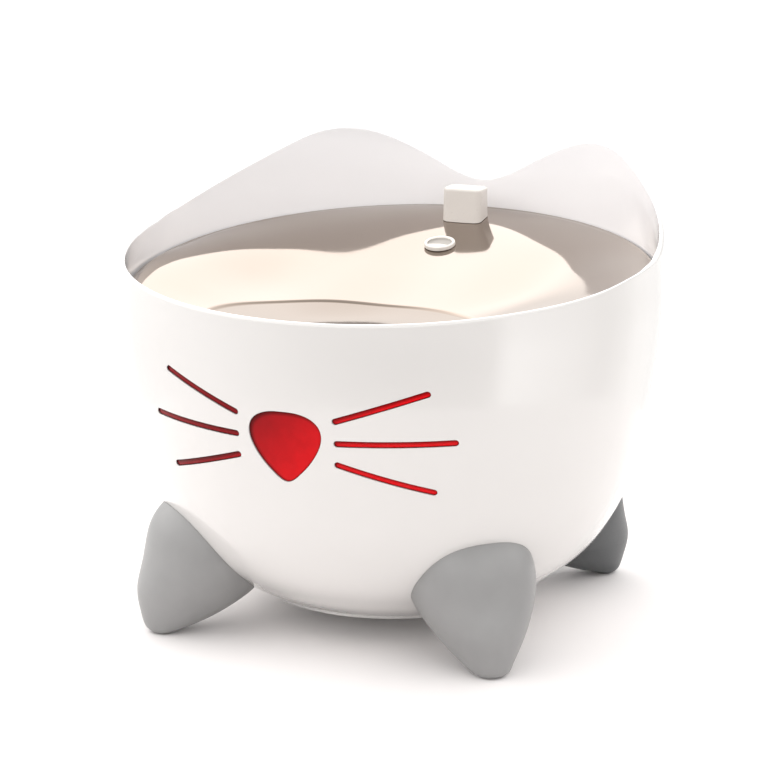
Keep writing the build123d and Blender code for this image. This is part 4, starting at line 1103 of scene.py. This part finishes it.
AZIMUTHS = (-180, -150, -120, -95, -65, -40, -15, 10, 35, 60, 80, 108, 117, 128, 150, 180)  # 0 behind the object, 90 to its right
PANELS = {  # elevation: strength of the studio's walls and softboxes by azimuth
    -60: (2.1,) * 16,
    -14: (0.30, 0.90, 1.40, 1.25, 1.10, 1.20, 1.28, 1.10, 1.40, 0.60, 1.40, 2.60, 0.40, 0.20, 0.10, 0.30),
    4: (0.42, 0.59, 0.90, 1.20, 1.28, 1.20, 1.10, 0.70, 0.40, 0.35, 0.35, 0.35, 0.35, 0.45, 0.46, 0.42),
    16: (1.76, 1.80, 1.82, 1.76, 1.95, 1.85, 1.62, 1.45, 1.30, 1.45, 1.50, 1.50, 1.60, 1.75, 1.78, 1.76),
    28: (1.74, 2.10, 2.20, 2.25, 3.00, 2.80, 2.72, 2.55, 2.00, 1.75, 1.60, 1.50, 1.50, 1.55, 1.55, 1.74),
    45: (1.55, 1.90, 2.20, 2.45, 3.30, 3.25, 2.78, 1.70, 1.60, 1.75, 1.85, 1.80, 1.65, 1.50, 1.50, 1.55),
    64: (1.35,) * 16,
    90: (0.9,) * 16,
}
TOP = 4.0


def math_node(op, *sockets):
    m = nt.nodes.new("ShaderNodeMath")
    m.operation = op
    for i, k in enumerate(sockets):
        nt.links.new(k, m.inputs[i])
    return m.outputs[0]


def studio():
    """Strength of the surroundings in each direction."""
    sep = nt.nodes.new("ShaderNodeSeparateXYZ")
    nt.links.new(co.outputs["Generated"], sep.inputs[0])
    turn = nt.nodes.new("ShaderNodeMapRange")
    turn.inputs["From Min"].default_value, turn.inputs["From Max"].default_value = -math.pi, math.pi
    nt.links.new(math_node("ARCTAN2", sep.outputs["X"], sep.outputs["Y"]), turn.inputs["Value"])
    lift = math_node("ARCSINE", sep.outputs["Z"])
    rows, cur = list(PANELS.items()), None
    for k, (el, row) in enumerate(rows):
        r = nt.nodes.new("ShaderNodeValToRGB")
        cr = r.color_ramp
        cr.interpolation = "LINEAR"
        cr.elements[0].position, cr.elements[1].position = 0.0, 1.0
        while len(cr.elements) < len(row):
            cr.elements.new(0.5)
        for i, (az, g) in enumerate(zip(AZIMUTHS, row)):
            cr.elements[i].position = (az + 180) / 360
        for i, g in enumerate(row):
            cr.elements[i].color = (g / TOP, g / TOP, g / TOP, 1)
        nt.links.new(turn.outputs["Result"], r.inputs["Fac"])
        here = r.outputs["Color"]
        for other, lo in ((rows[k - 1][0] if k else None, True), (rows[k + 1][0] if k + 1 < len(rows) else None, False)):
            if other is None:
                continue
            mr = nt.nodes.new("ShaderNodeMapRange")
            mr.interpolation_type = "SMOOTHSTEP"
            mr.inputs["From Min"].default_value = math.radians(min(el, other))
            mr.inputs["From Max"].default_value = math.radians(max(el, other))
            mr.inputs["To Min"].default_value, mr.inputs["To Max"].default_value = (0.0, 1.0) if lo else (1.0, 0.0)
            nt.links.new(lift, mr.inputs["Value"])
            here = math_node("MULTIPLY", here, mr.outputs["Result"])
        cur = here if cur is None else math_node("ADD", cur, here)
    gain = nt.nodes.new("ShaderNodeMapRange")
    gain.clamp = False
    gain.inputs["To Max"].default_value = TOP
    nt.links.new(cur, gain.inputs["Value"])
    return gain.outputs["Result"]


nt.links.new(studio(), bg.inputs["Strength"])
bg.inputs["Color"].default_value = (1.0, 0.99, 0.98, 1)

scene.view_settings.view_transform = "Standard"
scene.view_settings.look = "None"
scene.view_settings.exposure = 0.0

bpy.context.view_layer.update()
